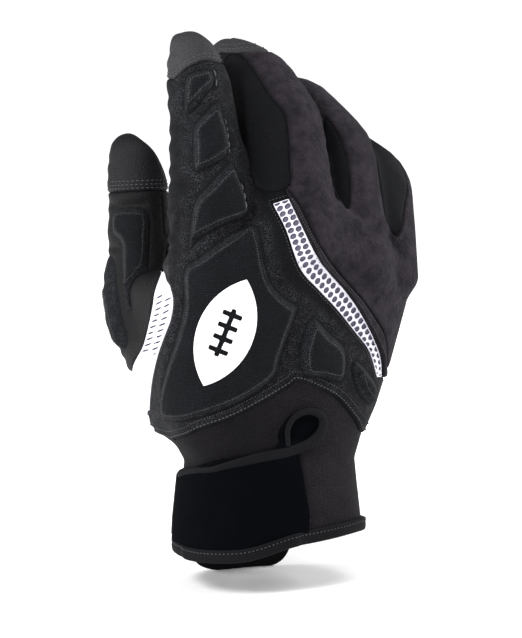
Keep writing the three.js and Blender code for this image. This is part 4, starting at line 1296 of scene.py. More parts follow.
def new_piece(name, points, faces, columns=None):
    """An object from points in mm and faces that all have as many corners."""
    mesh = bpy.data.meshes.new(name)
    corners = faces.shape[1]
    mesh.vertices.add(len(points))
    mesh.vertices.foreach_set("co", (np.asarray(points) * MM).ravel())
    mesh.loops.add(faces.size)
    mesh.loops.foreach_set("vertex_index", faces.ravel().astype(np.int32))
    mesh.polygons.add(len(faces))
    mesh.polygons.foreach_set("loop_start", np.arange(0, faces.size, corners, dtype=np.int32))
    mesh.polygons.foreach_set("use_smooth", np.ones(len(faces), bool))
    mesh.update(calc_edges=True)
    for key, column in (columns or {}).items():
        kind = "FLOAT" if column.ndim == 1 else "FLOAT_VECTOR"
        layer = mesh.attributes.new(key, kind, "POINT")
        layer.data.foreach_set("value" if kind == "FLOAT" else "vector",
                               column.astype(np.float32).ravel())
    piece = bpy.data.objects.new(name, mesh)
    bpy.context.scene.collection.objects.link(piece)
    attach(piece, BODY)
    return piece


def part_of(mask):
    """The points that the chosen triangles use, and the triangles numbered by them."""
    used, faces = np.unique(skin.triangles[mask], return_inverse=True)
    return used, faces.reshape(-1, 3)


def rim_of(faces):
    """Directed edges that only one face has."""
    a, b = faces.ravel(), np.roll(faces, -1, 1).ravel()
    key = packed(a, b)
    _, first, count = np.unique(key, return_index=True, return_counts=True)
    lone = first[count == 1]
    return np.stack([a[lone], b[lone]], 1)


def closed(top, bottom, faces):
    """Points and faces of the form between two layers of the same faces."""
    count = len(top)
    a, b = rim_of(faces).T
    walls = np.concatenate([np.stack([b, a, a + count], 1),
                            np.stack([b, a + count, b + count], 1)])
    return np.concatenate([top, bottom]), np.concatenate([faces, faces[:, ::-1] + count, walls])


def cloth_columns(used):
    """What the finishes read: distances to the seams and the pads, and the weave's directions."""
    # the seam distance places painted shade and dirt by the seams, the pad distance places painted
    # glints
    return {"seam": seam_far[used], "pad_far": np.clip(pads_far[used], 0, PAD_FAR_LIMIT),
            "weave": np.stack([skin["u"][used], skin["v"][used], skin.points[used, 1]], 1)}


def closed_piece(name, top, bottom, faces, columns):
    """A closed piece with the same columns on its top and on its bottom."""
    points, faces = closed(top, bottom, faces)
    columns = {key: np.concatenate([value, value]) for key, value in columns.items()}
    return new_piece(name, points, faces, columns)


print("rim of two triangles:", len(rim_of(np.array([(0, 1, 2), (0, 2, 3)]))), "edges")

# %% Panels
pieces = {}
STRIPS = ("back_mesh_strip", "thumb_mesh_strip")
for name, number in NUMBER.items():
    if name == "nothing" or name in STRIPS:
        continue
    used, faces = part_of((panel == number) & (on_pad == 0))
    pieces[name] = new_piece(name + "_cloth", cloth[used], faces, cloth_columns(used))
    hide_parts(name)
    print(name, len(faces), "triangles")

# %% [markdown]
# The two white strips are sport mesh, cut through with small holes. A picture with transparent
# dots would be lighter, but cut holes keep their shape in any export. A strip is as thick as
# cloth, and a dark backing just under it shows through the holes.

# %% Pierced strips
STRIP_THICK, BACKING_DEEP = 0.5, 0.8
for name in STRIPS:
    used, faces = part_of((panel == NUMBER[name]) & ~inside["holes"])
    below = cloth[used] - skin.normals[used] * STRIP_THICK
    pieces[name] = closed_piece(name + "_cloth", cloth[used], below, faces, cloth_columns(used))
    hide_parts(name)
    print(name, len(faces), "triangles")
used, faces = part_of(np.isin(panel, [NUMBER[name] for name in STRIPS]))
below = cloth[used] - skin.normals[used] * BACKING_DEEP
pieces["mesh_backing"] = new_piece("strip_backing", below, faces, cloth_columns(used))

# %% [markdown]
# A pad is thin foam under knit, moulded into a rounded block. A Solidify modifier gives blocks
# with even walls, but a real one rises slowly from its stitched groove, so its top is the skin
# plus the pad's own height, and its bottom lies inside the cloth.

# %% Pads
BASE_LIMIT, PAD_BELOW = 0.6, 0.8
base_lift = np.minimum(lift, BASE_LIMIT)


def pad_top(name):
    """Height of a pad's top over the bare skin, at every point."""
    return pad_height(np.maximum(skin[name], 0)) + base_lift + PAD_SINK


for number, name in enumerate(PADS, 1):
    used, faces = part_of(on_pad == number)
    base, out = skin.points[used], outward[used]
    top = base + out * pad_top(name)[used, None]
    bottom = base + out * (base_lift[used] - PAD_BELOW)[:, None]
    columns = cloth_columns(used) | {"rim": np.maximum(skin[name][used], 0)}
    pieces[name] = closed_piece(name + "_quilted", top, bottom, faces, columns)
    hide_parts(name)
print("pads:", len(PADS))

# %% [markdown]
# The mark is a thin transfer, the strap a smooth band with a rounded ear, and the tab a loop
# with a raised seam round it. Each is a shell between two heights over the skin, because such
# a shell follows the hand and can't cut into the cloth below. The ear lies a little lower than
# the strap, and its middle is dished.

# %% Mark, strap and tab
MARK_RISE, MARK_SINK, MARK_EDGE = 0.7, 0.2, 0.5
STRAP_LOW, STRAP_HIGH, STRAP_EDGE = -0.4, 1.4, 0.9
EAR_LEFT, EAR_FOOT, EAR_SOFT = 1, 42, 2
EAR_SINK, EAR_RIM_SINK = 1.8, 0.6
EAR_DISH, EAR_RIM, EAR_RIM_SOFT = 1.1, 1.8, 0.8
TAB_LOW, TAB_HIGH, TAB_EDGE = -1.6, 0.4, 1.2
TAB_BAND, TAB_BAND_RISE, BAND_EDGE = 3.0, 0.4, 0.6


def shell(name, mask, low, high, zone_name, edge, band=0.0, band_rise=0.0):
    """A closed piece between two heights over the skin, with a round rim and a raised band."""
    used, faces = part_of(mask)
    inner = np.maximum(skin[zone_name][used], 0)
    middle = ((low + high) / 2)[used]
    half = ((high - low) / 2)[used] * dome(inner, edge)
    base, out = skin.points[used], outward[used]
    raised = band_rise * (1 - ease((inner - band) / BAND_EDGE)) * dome(inner, edge)
    top = base + out * (middle + half + raised)[:, None]
    bottom = base + out * (middle - half)[:, None]
    return closed_piece(name, top, bottom, faces, cloth_columns(used) | {"rim": inner})


large_pad = pad_top("back_pad")
in_mark = inside["mark"] & ~inside["lace"] & (on_pad == PADS.index("back_pad") + 1)
pieces["back_mark"] = shell("football_mark", in_mark, large_pad - MARK_SINK,
                            large_pad + MARK_RISE, "mark", MARK_EDGE)
in_strap = inside["strap"] & (panel != NUMBER["nothing"])
ear = ease((skin["v"] - EAR_FOOT) / EAR_SOFT) * ease((skin["u"] - EAR_LEFT) / EAR_SOFT)
dish = EAR_DISH * ease((skin["strap"] - EAR_RIM) / EAR_RIM_SOFT)
strap_low = STRAP_LOW - EAR_SINK * ear
strap_high = STRAP_HIGH - ear * (EAR_RIM_SINK + dish)
pieces["wrist_strap"] = shell("strap_band", in_strap, strap_low, strap_high, "strap", STRAP_EDGE)
level = np.zeros(len(skin.table))
pieces["pull_tab"] = shell("tab_loop", inside["tab"], level + TAB_LOW, level + TAB_HIGH, "tab",
                           TAB_EDGE, TAB_BAND, TAB_BAND_RISE)
for name in ("back_mark", "wrist_strap", "pull_tab"):
    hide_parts(name)
    print(name, len(pieces[name].data.polygons), "triangles")

# %% [markdown]
# ## Stitches
# A row of stitches runs beside a seam at a fixed distance. The zones already hold distances,
# so a row is the line where a zone's number has one value. The line is traced through the
# triangles, and short rounded threads are laid along it, with gaps where the thread dips.

# %% Trace lines on the skin
outer = cloth.copy()
for name in PADS:
    on_this = skin[name] > 0
    rise = pad_top(name)[on_this, None]
    outer[on_this] = skin.points[on_this] + outward[on_this] * rise


def traced(name, level, mask):
    """Lines where the named number has the level, on the chosen triangles."""
    value = skin[name] - level
    tri = skin.triangles[mask]
    a, b = tri, np.roll(tri, -1, 1)
    cross = (value[a] > 0) != (value[b] > 0)
    chosen = cross.sum(1) == 2
    a, b, cross = a[chosen], b[chosen], cross[chosen]
    pairs, back = numbered(a[cross], b[cross])
    share = zero_share(value, pairs)
    place, out = between(outer, pairs, share), between(skin.normals, pairs, share)
    links = {}
    for first, second in back.reshape(-1, 2).tolist():
        links.setdefault(first, []).append(second)
        links.setdefault(second, []).append(first)
    lines = []
    ends = [k for k, near in links.items() if len(near) == 1]
    seen = set()
    for start in ends + list(links):
        if start in seen:
            continue
        line = [start]
        seen.add(start)
        while ahead := [k for k in links[line[-1]] if k not in seen]:
            line.append(ahead[0])
            seen.add(ahead[0])
        if line[0] in links[line[-1]] and len(line) > 3:
            line.append(line[0])
        lines.append((place[line], out[line]))
    return lines


print("the sewn surface reaches up to", outer[:, 2].max().round(1), "mm")

# %% Lay threads
THREAD_RINGS, THREAD_SIDES = 5, 5
THREAD_ARCH, THREAD_DIP = 0.3, 0.12
THREAD_THIN, THREAD_STEP = 0.08, 0.2
SHORTEST_ROW = 5.0
thread_points, thread_faces = [], []


def sew(line, length=2.0, gap=0.9, radius=0.27, raise_by=0.1):
    """Rounded threads along a line on the skin."""
    place, out = line
    run = np.concatenate([[0], np.cumsum(np.linalg.norm(np.diff(place, axis=0), axis=1))])
    count = int(run[-1] / (length + gap))
    if count < 2:
        return 0
    pitch = run[-1] / count
    keep = np.concatenate([[True], np.diff(run) > 1e-6])
    run, place, out = run[keep], place[keep], out[keep]
    part = np.linspace(0, 1, THREAD_RINGS)
    s = (np.arange(count)[:, None] * pitch + gap / 2 + part[None] * (pitch - gap)).ravel()
    centre = read_along(s, run, place)
    up = unit(read_along(s, run, out))
    ahead = unit(read_along(s + THREAD_STEP, run, place) - read_along(s - THREAD_STEP, run, place))
    side = np.cross(ahead, up)
    belly = np.sin(math.pi * np.clip(part, THREAD_THIN, 1 - THREAD_THIN)) ** 0.5
    height = np.tile(np.sin(math.pi * part) * THREAD_ARCH - THREAD_DIP, count)
    thick = np.tile(radius * belly, count)
    turn = np.linspace(0, TURN, THREAD_SIDES, endpoint=False)
    ring = (side[:, None] * np.cos(turn)[None, :, None] + up[:, None] * np.sin(turn)[None, :, None])
    points = (centre + up * (height + raise_by)[:, None])[:, None] + ring * thick[:, None, None]
    start = sum(len(p) for p in thread_points)
    i = (np.arange(count)[:, None] * THREAD_RINGS + np.arange(THREAD_RINGS - 1)[None]).ravel()
    j = np.arange(THREAD_SIDES)
    k = (j + 1) % THREAD_SIDES
    a = start + i[:, None] * THREAD_SIDES
    b = a + THREAD_SIDES
    thread_points.append(points.reshape(-1, 3))
    thread_faces.append(np.stack([a + j, a + k, b + k, b + j], -1).reshape(-1, 4))
    return count


def sew_rows(name, levels, mask, **thread):
    """Rows of stitches where the named number has each of the levels."""
    total = 0
    for level in levels:
        for place, out in traced(name, level, mask):
            if np.linalg.norm(np.diff(place, axis=0), axis=1).sum() > SHORTEST_ROW:
                total += sew((place, out), **thread)
    print(name, "stitches:", total)

# %% Rows of stitches
def on_panels(*names):
    """Triangles of the named panels."""
    return np.isin(panel, [NUMBER[name] for name in names])


bare = on_pad == 0
for name in ("index", "middle", "thumb"):
    cap_name = "thumb_tip" if name == "thumb" else name + "_fingertip_cap"
    rows = (1.3, 2.9) if name != "thumb" else (1.3, 2.9, 4.5)
    sew_rows(name + "_cap", rows, on_panels(cap_name), length=1.5, gap=0.7, radius=0.2,
             raise_by=0.0)
sew_rows("cuff", (-1.5,), on_panels("back_panel", "palm_panel", "thumb_palm_panel") & bare,
         length=1.1, gap=0.6, radius=0.26)
sew_rows("cuff", (-4.0,), on_panels("back_panel") & bare, length=0.6, gap=0.7, radius=0.2)
sew_rows("piping", (1.0,), on_panels("back_piping"), length=0.7, gap=0.5, radius=0.15)
for name in ("mesh", "thumb_mesh"):
    sew_rows(name, (-1.3,), on_panels("back_panel") & bare, length=0.8, gap=0.7, radius=0.16)
for number, name in enumerate(PADS, 1):
    sew_rows(name, (PAD_SLOPE - 0.9,), on_pad == number, length=0.55, gap=0.6, radius=0.2)

# %% [markdown]
# A few large stitches gather the side of the middle finger where no zone ends. They are laid
# along lines of the picture, which are cast from the eye onto the nearest surface.

# %% Large stitches
# pixels of the picture, and the length of one stitch in mm
STITCH_LINES = [
    ([(213, 69), (215.5, 78), (216, 88)], 2.2), ([(224, 118), (227, 135), (229, 155)], 2.2),
    ([(240, 183), (244, 196), (246, 210)], 2.0)]
EYE_AT = Vector(EYE)
skin_tree = BVHTree.FromPolygons(outer.tolist(), skin.triangles.tolist())


def draped(pixels):
    """A line of the picture laid on the nearest surface that the eye sees."""
    place, out = [], []
    for u, v in smooth_line(from_picture(pixels), closed=False, steps=8):
        toward = Vector(RIGHT * u + UP * v) - EYE_AT
        hit, normal, _, _ = skin_tree.ray_cast(EYE_AT, toward.normalized())
        if hit is not None:
            place.append(hit)
            out.append(normal)
    return np.array(place), np.array(out)


for pixels, length in STITCH_LINES:
    print("large stitches:", sew(draped(pixels), length=length, gap=1.2, radius=0.4, raise_by=0.3))

# %% [markdown]
# A folded tape binds the strap. A curve with a bevel could draw it, but its width changes and
# it lies on a curved band, so a flat round section is swept along a line laid on the strap.

# %% Tape along the strap
# pixels of the picture that the tape runs through, and its half width in mm at shares of it
TAPE = [(178, 534), (178.8, 515), (179.5, 492), (181, 478), (189, 472.5), (210, 468.5),
        (235, 462.5), (260, 457), (283, 452.5), (301, 446.5), (313, 438.5), (320, 428),
        (319.5, 417.5), (311.5, 411.5), (300.5, 412), (291, 418.5), (285.5, 430), (286, 446)]
TAPE_PLACES, TAPE_HALVES = (0, 0.2, 0.3, 0.62, 0.72, 1), (1.4, 1.5, 2.2, 2.3, 1.6, 1.2)
TAPE_SIDES = 10
TAPE_HIGH, TAPE_LIFTED = 0.8, 2.2
FAR_FROM_SEAM = 3.0


def sweep(path, section, out, up, closed_path=True):
    """Points and quads of a section carried along a path."""
    count, sides = len(path), len(section)
    points = (path[:, None] + out[:, None] * section[None, :, :1]
              + up[:, None] * section[None, :, 1:2]).reshape(-1, 3)
    i = np.arange(count if closed_path else count - 1)[:, None] * sides
    nxt = (i + sides) % (count * sides)
    j = np.arange(sides)[None, :]
    k = (j + 1) % sides
    return points, np.stack([i + j, i + k, nxt + k, nxt + j], -1).reshape(-1, 4)


def taped(pixels):
    """A rounded tape on the strap along a line of the picture."""
    place, out = draped(pixels)
    step = unit(np.gradient(place, axis=0))
    out = unit(out - (out * step).sum(1)[:, None] * step)
    turn = np.linspace(0, TURN, TAPE_SIDES, endpoint=False)
    section = np.stack([TAPE_HIGH * np.sin(turn) + TAPE_LIFTED, np.cos(turn)], 1)
    half = np.interp(np.linspace(0, 1, len(place)), TAPE_PLACES, TAPE_HALVES)
    points, quads = sweep(place, section, out, np.cross(step, out) * half[:, None],
                          closed_path=False)
    last = len(points)
    middle = place[[0, -1]] + out[[0, -1]] * TAPE_LIFTED
    ring = np.arange(TAPE_SIDES)
    following = np.roll(ring, -1)
    faces = [quads[:, [0, 1, 2]], quads[:, [0, 2, 3]],
             np.stack([following, ring, ring * 0 + last], 1),
             np.stack([ring + last - TAPE_SIDES, following + last - TAPE_SIDES,
                       ring * 0 + last + 1], 1)]
    return np.concatenate([points, middle]), np.concatenate(faces)


def swept_columns(points):
    """The columns of a swept piece, which has no zones."""
    return {"weave": np.concatenate([on_plane(points), points[:, 1:2]], 1),
            "seam": np.full(len(points), FAR_FROM_SEAM)}


tape_points, tape_faces = taped(TAPE)
pieces["strap_edges"] = new_piece("strap_tape", tape_points, tape_faces,
                                  swept_columns(tape_points))
print("tape points:", len(tape_points))

# %% [markdown]
# The hem is a tape folded over the edge of the cuff, with a row of stitches in a groove. Its
# section is drawn once, outside and inside, and swept round the wrist. Where the strap lies
# over it, the outside is pushed out, so that the tape covers the strap's edge.

# %% Hem
HEM_POINTS = 360
HEM_START = (44, 33)
HEM_ROUNDS = 6
HEM_GROOVE = 4
HEM_OUTER = -1.2
HEM_PUSH, HEM_PULL = 1.1, 0.1
STRAP_END, STRAP_END_SOFT, STRAP_FRONT_SOFT = 15, 4, 6
# how far out and how far up the section runs, in mm, from the outside round to the inside
HEM_SECTION = np.array([
    (-0.3, 5.2), (0.5, 5.2), (1.0, 4.8), (1.05, 4.2), (0.65, 3.7), (0.9, 3.2), (1.0, 2.0),
    (0.95, 0.8), (0.7, -0.1), (0.1, -0.6), (-1.0, -0.8), (-1.9, -0.5), (-2.4, 0.4),
    (-2.5, 2.0), (-2.5, 3.8), (-2.2, 4.5), (-1.4, 4.9)])


def ring_at_hem():
    """A ring of points round the skin at the hem, and its outward directions."""
    turn = np.linspace(0, TURN, HEM_POINTS, endpoint=False)
    points = np.stack([np.cos(turn) * HEM_START[0], np.sin(turn) * HEM_START[1], 0 * turn], 1)
    for _ in range(HEM_ROUNDS):
        points[:, 2] = hem_height(points[:, 0], points[:, 1])
        here = distance(points)
        normal = slope(points, here)
        normal[:, 2] = 0
        points -= normal * here[:, None]
    points[:, 2] = hem_height(points[:, 0], points[:, 1])
    return points, unit(normal)


hem_path, hem_out = ring_at_hem()
corners = len(HEM_SECTION)
hem_points, hem_faces = sweep(hem_path, HEM_SECTION, hem_out,
                              np.tile([0, 0, 1.0], (HEM_POINTS, 1)))
under_strap = (ease((STRAP_END - on_plane(hem_path)[:, 0]) / STRAP_END_SOFT)
               * ease(-hem_path[:, 1] / STRAP_FRONT_SOFT))
outside = np.tile(HEM_SECTION[:, 0] > HEM_OUTER, HEM_POINTS)[:, None]
push = np.repeat(under_strap, corners) * HEM_PUSH - HEM_PULL
hem_points += np.repeat(hem_out, corners, 0) * outside * push[:, None]
pieces["hem_binding"] = new_piece("hem_band", hem_points, hem_faces, swept_columns(hem_points))
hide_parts("hem_binding")
groove = hem_points.reshape(HEM_POINTS, corners, 3)[:, HEM_GROOVE]
sew((groove, hem_out), length=1.0, gap=0.8, radius=0.22)
pieces["stitches"] = new_piece("seam_stitches", np.concatenate(thread_points),
                               np.concatenate(thread_faces))
print("thread quads:", sum(len(faces) for faces in thread_faces))
print("hem:", len(hem_points), "points")

# %% [markdown]
# The lining is the soft inner glove that keeps the form hollow and closes it when one looks in
# at the wrist. It is the same surface as the skin, netted again a little deeper and with cells
# of twice the size, since nothing fine shows on it.

# %% Lining
LINING_DEEP = 2.6
LINING_OVER_HEM = 0.4
lining_points, lining_quads = net(values[::2, ::2, ::2] + LINING_DEEP, CELL * 2)
over_hem = lining_points[:, 2] - hem_height(lining_points[:, 0], lining_points[:, 1])
keep = (over_hem[lining_quads] > LINING_OVER_HEM).all(1)
used, faces = np.unique(lining_quads[keep], return_inverse=True)
faces = faces.reshape(-1, 4)[:, ::-1]
pieces["lining"] = new_piece("inner_lining", lining_points[used], faces)
print("lining:", len(faces), "quads")

# %% [markdown]
# ## Finishes
# The real glove mixes many blacks: rib knit on the pads, stretch knit on the back, brownish
# suede over the fingers, grained leather on the palm, a speckled wrist knit, and smooth tape.
# They differ in grain and sheen more than in colour, so each gets its own formula. A small
# class wraps a shader socket, and arithmetic on it makes the Math nodes.

# %% Formulas for materials
class Value:
    """A socket that can be used in a formula."""

    def __init__(self, finish, socket):
        self.finish = finish
        self.socket = socket

    def __add__(self, other):
        return self.finish.math("ADD", self, other)

    def __sub__(self, other):
        return self.finish.math("SUBTRACT", self, other)

    def __rsub__(self, other):
        return self.finish.math("SUBTRACT", other, self)

    def __mul__(self, other):
        return self.finish.math("MULTIPLY", self, other)

    def sine(self):
        return self.finish.math("SINE", self)

    def clamped(self):
        return self.finish.math("MULTIPLY", self, 1.0, clamp=True)

    __radd__ = __add__
    __rmul__ = __mul__


print("reflected forms:", [name for name in vars(Value) if "__r" in name])

# %% Finish maker
finishes = {}


class Finish:
    """A material with one Principled shader."""

    def __init__(self, name, **constants):
        material = finishes[name] = bpy.data.materials.new(name)
        material.use_nodes = True
        self.tree = material.node_tree
        self.shader = self.tree.nodes["Principled BSDF"]
        for key, value in constants.items():
            self.feed(key.replace("_", " "), value)

    def feed(self, name, value):
        """Gives the shader's named input a value."""
        self.join(value, self.shader.inputs[name])

    def join(self, value, socket):
        """Links a value to a socket, or sets the socket to a number or colour."""
        if isinstance(value, Value):
            self.tree.links.new(value.socket, socket)
        else:
            socket.default_value = value

    def node(self, kind, settings=None, inputs=None, output=0):
        """Any node: its settings first, then the values or links of its sockets."""
        made = self.tree.nodes.new("ShaderNode" + kind)
        for key, value in (settings or {}).items():
            setattr(made, key, value)
        for key, value in (inputs or {}).items():
            self.join(value, made.inputs[key])
        return Value(self, made.outputs[output])

    def math(self, operation, *values, clamp=False):
        settings = {"operation": operation, "use_clamp": clamp}
        return self.node("Math", settings, dict(enumerate(values)))

    def millimetres(self):
        """The place on the glove in mm."""
        place = self.node("TexCoord", output="Object")
        return self.node("VectorMath", {"operation": "SCALE"}, {0: place, "Scale": 1000.0})

    def column(self, name):
        """A number that the mesh keeps for each point."""
        return self.node("Attribute", {"attribute_name": name}, output="Fac")

    def weave(self):
        """The cloth's own directions in mm: across, up, and into the picture."""
        place = self.node("Attribute", {"attribute_name": "weave"}, output="Vector")
        return [self.node("SeparateXYZ", None, {0: place}, output=i) for i in range(3)]

    def noise(self, size, detail=2.0, rough=0.5):
        """Cloudy patches of a size in mm."""
        return self.node("TexNoise", None, {"Vector": self.millimetres(), "Scale": 1 / size,
                                            "Detail": detail, "Roughness": rough})

    def cells(self, size):
        """Distance to the nearest of scattered dots, at a size in mm."""
        return self.node("TexVoronoi", {"feature": "F1"},
                         {"Vector": self.millimetres(), "Scale": 1 / size}, output="Distance")

    def smooth(self, value, low, high):
        """A soft step from 0 at low to 1 at high."""
        return self.node("MapRange", {"interpolation_type": "SMOOTHSTEP"},
                         {"Value": value, "From Min": low, "From Max": high})

    def blend(self, share, first, second):
        """A colour between two colours."""
        return self.node("Mix", {"data_type": "RGBA"}, {0: share, 6: first, 7: second}, output=2)

    def paint(self, share, dark, light):
        """Base colour between two colours."""
        self.feed("Base Color", self.blend(share, (*dark, 1), (*light, 1)))

    def bump(self, height, depth):
        """Relief of a depth in mm."""
        relief = self.node("Bump", None, {"Height": height, "Distance": depth * MM,
                                          "Strength": 1.0})
        self.feed("Normal", relief)


print("a finish can make:", [name for name in vars(Finish) if name[0] != "_"])

# %% [markdown]
# ### Knits
# Knitted cloth shows fine ribs of about one millimetre, with painted highlight specks where a loop
# turns towards the light. The stretch knit of the back is finer than the rib of the pads. On a pad
# the slope between rim and top is a stippled net of painted glints, with a painted highlight line
# along its crest, and painted shade and dirt darken the knit towards the seams.

# %% Knit finishes
# widths of the pads' ribs and loops in mm, half the painted highlight line's width, the glints'
# colour
RIB, LOOP = 0.95, 0.62
HIGHLIGHT_HALF = 0.9
PAINTED_GLINT = (0.070, 0.072, 0.080)


def knit(name, dark, light, rib, loop, depth, stipple=None):
    """Ribbed knit; a stipple of painted glints is a column, where it is full, starts and ends to
    fade, and its painted highlight line.
    """
    finish = Finish(name, Roughness=0.75, Sheen_Weight=0.02, Sheen_Roughness=0.45,
                    Specular_IOR_Level=0.07)
    across, up, _ = finish.weave()
    wobble = finish.noise(5.0) * 2.2
    ribs = (up * (TURN / rib) + wobble).sine() * 0.5 + 0.5
    loops = (across * (TURN / loop) + wobble).sine() * 0.5 + 0.5
    # painted highlight: light specks stand in for glints where loops turn towards the light
    specks = finish.smooth(finish.noise(0.55, 1.0), 0.52, 0.72)
    worn = finish.noise(14.0)
    grain = ribs * 0.6 + loops * 0.4
    share = (grain * 0.35 + specks * 0.5) * (worn + 0.45)
    # painted shade and dirt: the colour darkens towards the seams, and dims the painted glints there
    # too
    seams = finish.smooth(finish.column("seam"), 0.0, 1.6)
    colour = finish.blend((share * (seams * 0.7 + 0.3)).clamped(), (*dark, 1), (*light, 1))
    if stipple:
        column, full, start, end, crest = stipple
        # painted glints and highlight: stipple dots on the pad's slope, and a highlight line along
        # its crest
        far = finish.column(column)
        band = finish.smooth(far, 0.0, full) * (1.0 - finish.smooth(far, start, end))
        line = (finish.smooth(far, crest - HIGHLIGHT_HALF, crest)
                * (1.0 - finish.smooth(far, crest, crest + HIGHLIGHT_HALF)))
        dots = finish.smooth(finish.cells(0.5), 0.6, 0.1)
        patchy = finish.smooth(finish.noise(3.5, 2.0), 0.3, 0.75)
        shown = dots * (band * (patchy * 0.5 + 0.2) + line * 0.4).clamped()
        colour = finish.blend((shown * (seams * 0.8 + 0.2)).clamped(), colour, (*PAINTED_GLINT, 1))
        grain = grain * (1.0 - band) + dots * band
    finish.feed("Base Color", colour)
    finish.bump(grain + specks * 0.4, depth)


knit("back_knit", (0.0012, 0.0013, 0.0018), (0.0105, 0.0112, 0.0138), 0.8, 0.55, 0.12,
     ("pad_far", 0.8, 3.0, 8.0, 30.0))
knit("pad_knit", (0.0014, 0.0016, 0.0022), (0.0135, 0.0147, 0.0178), RIB, LOOP, 0.16,
     ("rim", 1.2, 2.6, 3.6, 3.2))
knit("side_knit", (0.0014, 0.0015, 0.0021), (0.0094, 0.0100, 0.0132), 0.7, 0.5, 0.08)
print("knits:", list(finishes))

# %% [markdown]
# ### Suede, leather and caps
# Suede is brushed: it looks mottled where the nap lies differently, and soft at its edges.
# Leather has a fine pebble grain, and its creases are duller than its crests. The fingertip
# caps are the same leather dyed grey.

# %% Suede and leather finishes
def suede(name, dark, light):
    """Brushed suede: patches where the nap lies differently, and painted shade and dirt towards the
    seams.
    """
    finish = Finish(name, Roughness=0.9, Sheen_Weight=0.04, Sheen_Roughness=0.5,
                    Sheen_Tint=(0.85, 0.8, 0.9, 1), Specular_IOR_Level=0.05)
    patches = finish.noise(7.0, 4.0, rough=0.6)
    fine = finish.noise(0.9, 3.0)
    nap = finish.noise(0.28, 2.0)
    # painted shade and dirt: the colour darkens towards the seams
    seams = finish.smooth(finish.column("seam"), 0.0, 1.8)
    brushed = finish.smooth(finish.noise(3.2, 3.0, rough=0.65), 0.36, 0.68)
    mottled = finish.smooth(patches, 0.34, 0.68)
    share = mottled * 0.34 + brushed * 0.22 + fine * 0.3 + nap * 0.3 - 0.1
    finish.paint((share * (seams * 0.6 + 0.4)).clamped(), dark, light)
    finish.bump(nap + fine * 1.4 + brushed * 1.2 + patches * 1.5, 0.26)


def leather(name, dark, light, grain, rough):
    """Leather with pebbles of a size in mm."""
    finish = Finish(name, Specular_IOR_Level=0.12)
    pebbles = finish.smooth(finish.cells(grain), 0.75, 0.15)
    pores = finish.noise(0.3, 2.0)
    patches = finish.noise(9.0, 3.0)
    share = pebbles * 0.35 + pores * 0.3 + patches * 0.35
    finish.paint(share.clamped(), dark, light)
    finish.feed("Roughness", rough + pores * 0.14 - pebbles * 0.06)
    finish.bump(pebbles + pores * 0.5 + patches * 0.8, 0.12)


suede("finger_suede", (0.0036, 0.0031, 0.0041), (0.0300, 0.0252, 0.0318))
leather("palm_leather", (0.0014, 0.0014, 0.0018), (0.0052, 0.0053, 0.0064), 1.1, 0.6)
leather("grip_leather", (0.0044, 0.0044, 0.0052), (0.0150, 0.0150, 0.0176), 1.3, 0.5)
leather("thumb_leather", (0.0024, 0.0025, 0.0031), (0.0086, 0.0088, 0.0104), 0.9, 0.55)
leather("cap_leather", (0.0130, 0.0130, 0.0144), (0.0390, 0.0385, 0.0425), 0.8, 0.55)
print("suede and leather:", list(finishes)[3:])

# %% [markdown]
# ### Wrist knit, tape, mesh, mark and thread
# The wrist is a soft knit over foam, brownish and speckled. The strap is smooth, black and
# matt. The sport mesh is white over a purple-grey backing, and the football mark is a smooth
# white transfer. Threads are a mid grey, so the stitches show on black. The floor glows a
# little more with distance from the glove, so that its edge can't be told from the backdrop.

# %% Other finishes
COLUMN_WIDTH = 0.9


def speckled(name, dark, light, depth, sheen):
    """Speckled knit, warmer towards the little finger's side."""
    finish = Finish(name, Roughness=0.8, Sheen_Weight=sheen, Sheen_Roughness=0.5,
                    Specular_IOR_Level=0.05)
    across, _, _ = finish.weave()
    specks = finish.smooth(finish.noise(0.5, 2.0), 0.42, 0.68)
    patches = finish.noise(12.0, 2.0)
    columns = (across * (TURN / COLUMN_WIDTH)).sine() * 0.5 + 0.5
    warm = finish.smooth(across, -8.0, 22.0) * 0.6 + 0.6
    share = (specks * 0.55 + patches * 0.35 + columns * 0.12) * warm
    finish.paint(share.clamped(), dark, light)
    finish.bump(specks + columns * 0.6, depth)


def smooth_stuff(name, dark, light, rough, grain=0.6, depth=0.06, shine=0.07):
    """Tape, transfer, thread or mesh with a fine even grain."""
    finish = Finish(name, Specular_IOR_Level=shine)
    fine = finish.noise(grain, 2.0)
    patches = finish.noise(10.0, 2.0)
    finish.paint((fine * 0.5 + patches * 0.5).clamped(), dark, light)
    finish.feed("Roughness", rough + fine * 0.12)
    finish.bump(fine, depth)


speckled("cuff_knit", (0.0022, 0.0022, 0.0029), (0.0165, 0.0138, 0.0165), 0.12, 0.02)
speckled("lining_knit", (0.006, 0.006, 0.007), (0.02, 0.02, 0.022), 0.1, 0.05)
smooth_stuff("strap_rubber", (0.0006, 0.0008, 0.0012), (0.0020, 0.0024, 0.0034), 0.85,
             shine=0.02)
smooth_stuff("binding_tape", (0.0018, 0.0019, 0.0025), (0.0074, 0.0076, 0.0092), 0.7, 0.5, 0.12)
smooth_stuff("white_mesh", (0.56, 0.55, 0.62), (0.74, 0.73, 0.80), 0.6, 0.4, 0.08)
smooth_stuff("mesh_backing", (0.085, 0.078, 0.11), (0.15, 0.14, 0.19), 0.8, 0.4, 0.08)
smooth_stuff("mark_white", (0.84, 0.84, 0.85), (0.9, 0.9, 0.9), 0.42, 0.4, 0.02)
smooth_stuff("thread", (0.042, 0.043, 0.047), (0.090, 0.091, 0.097), 0.65, 0.3, 0.03)
floor_finish = Finish("pale_floor", Roughness=0.9, Emission_Strength=1.0)
floor_finish.paint(floor_finish.noise(20.0), (0.94, 0.94, 0.94), (0.96, 0.96, 0.96))
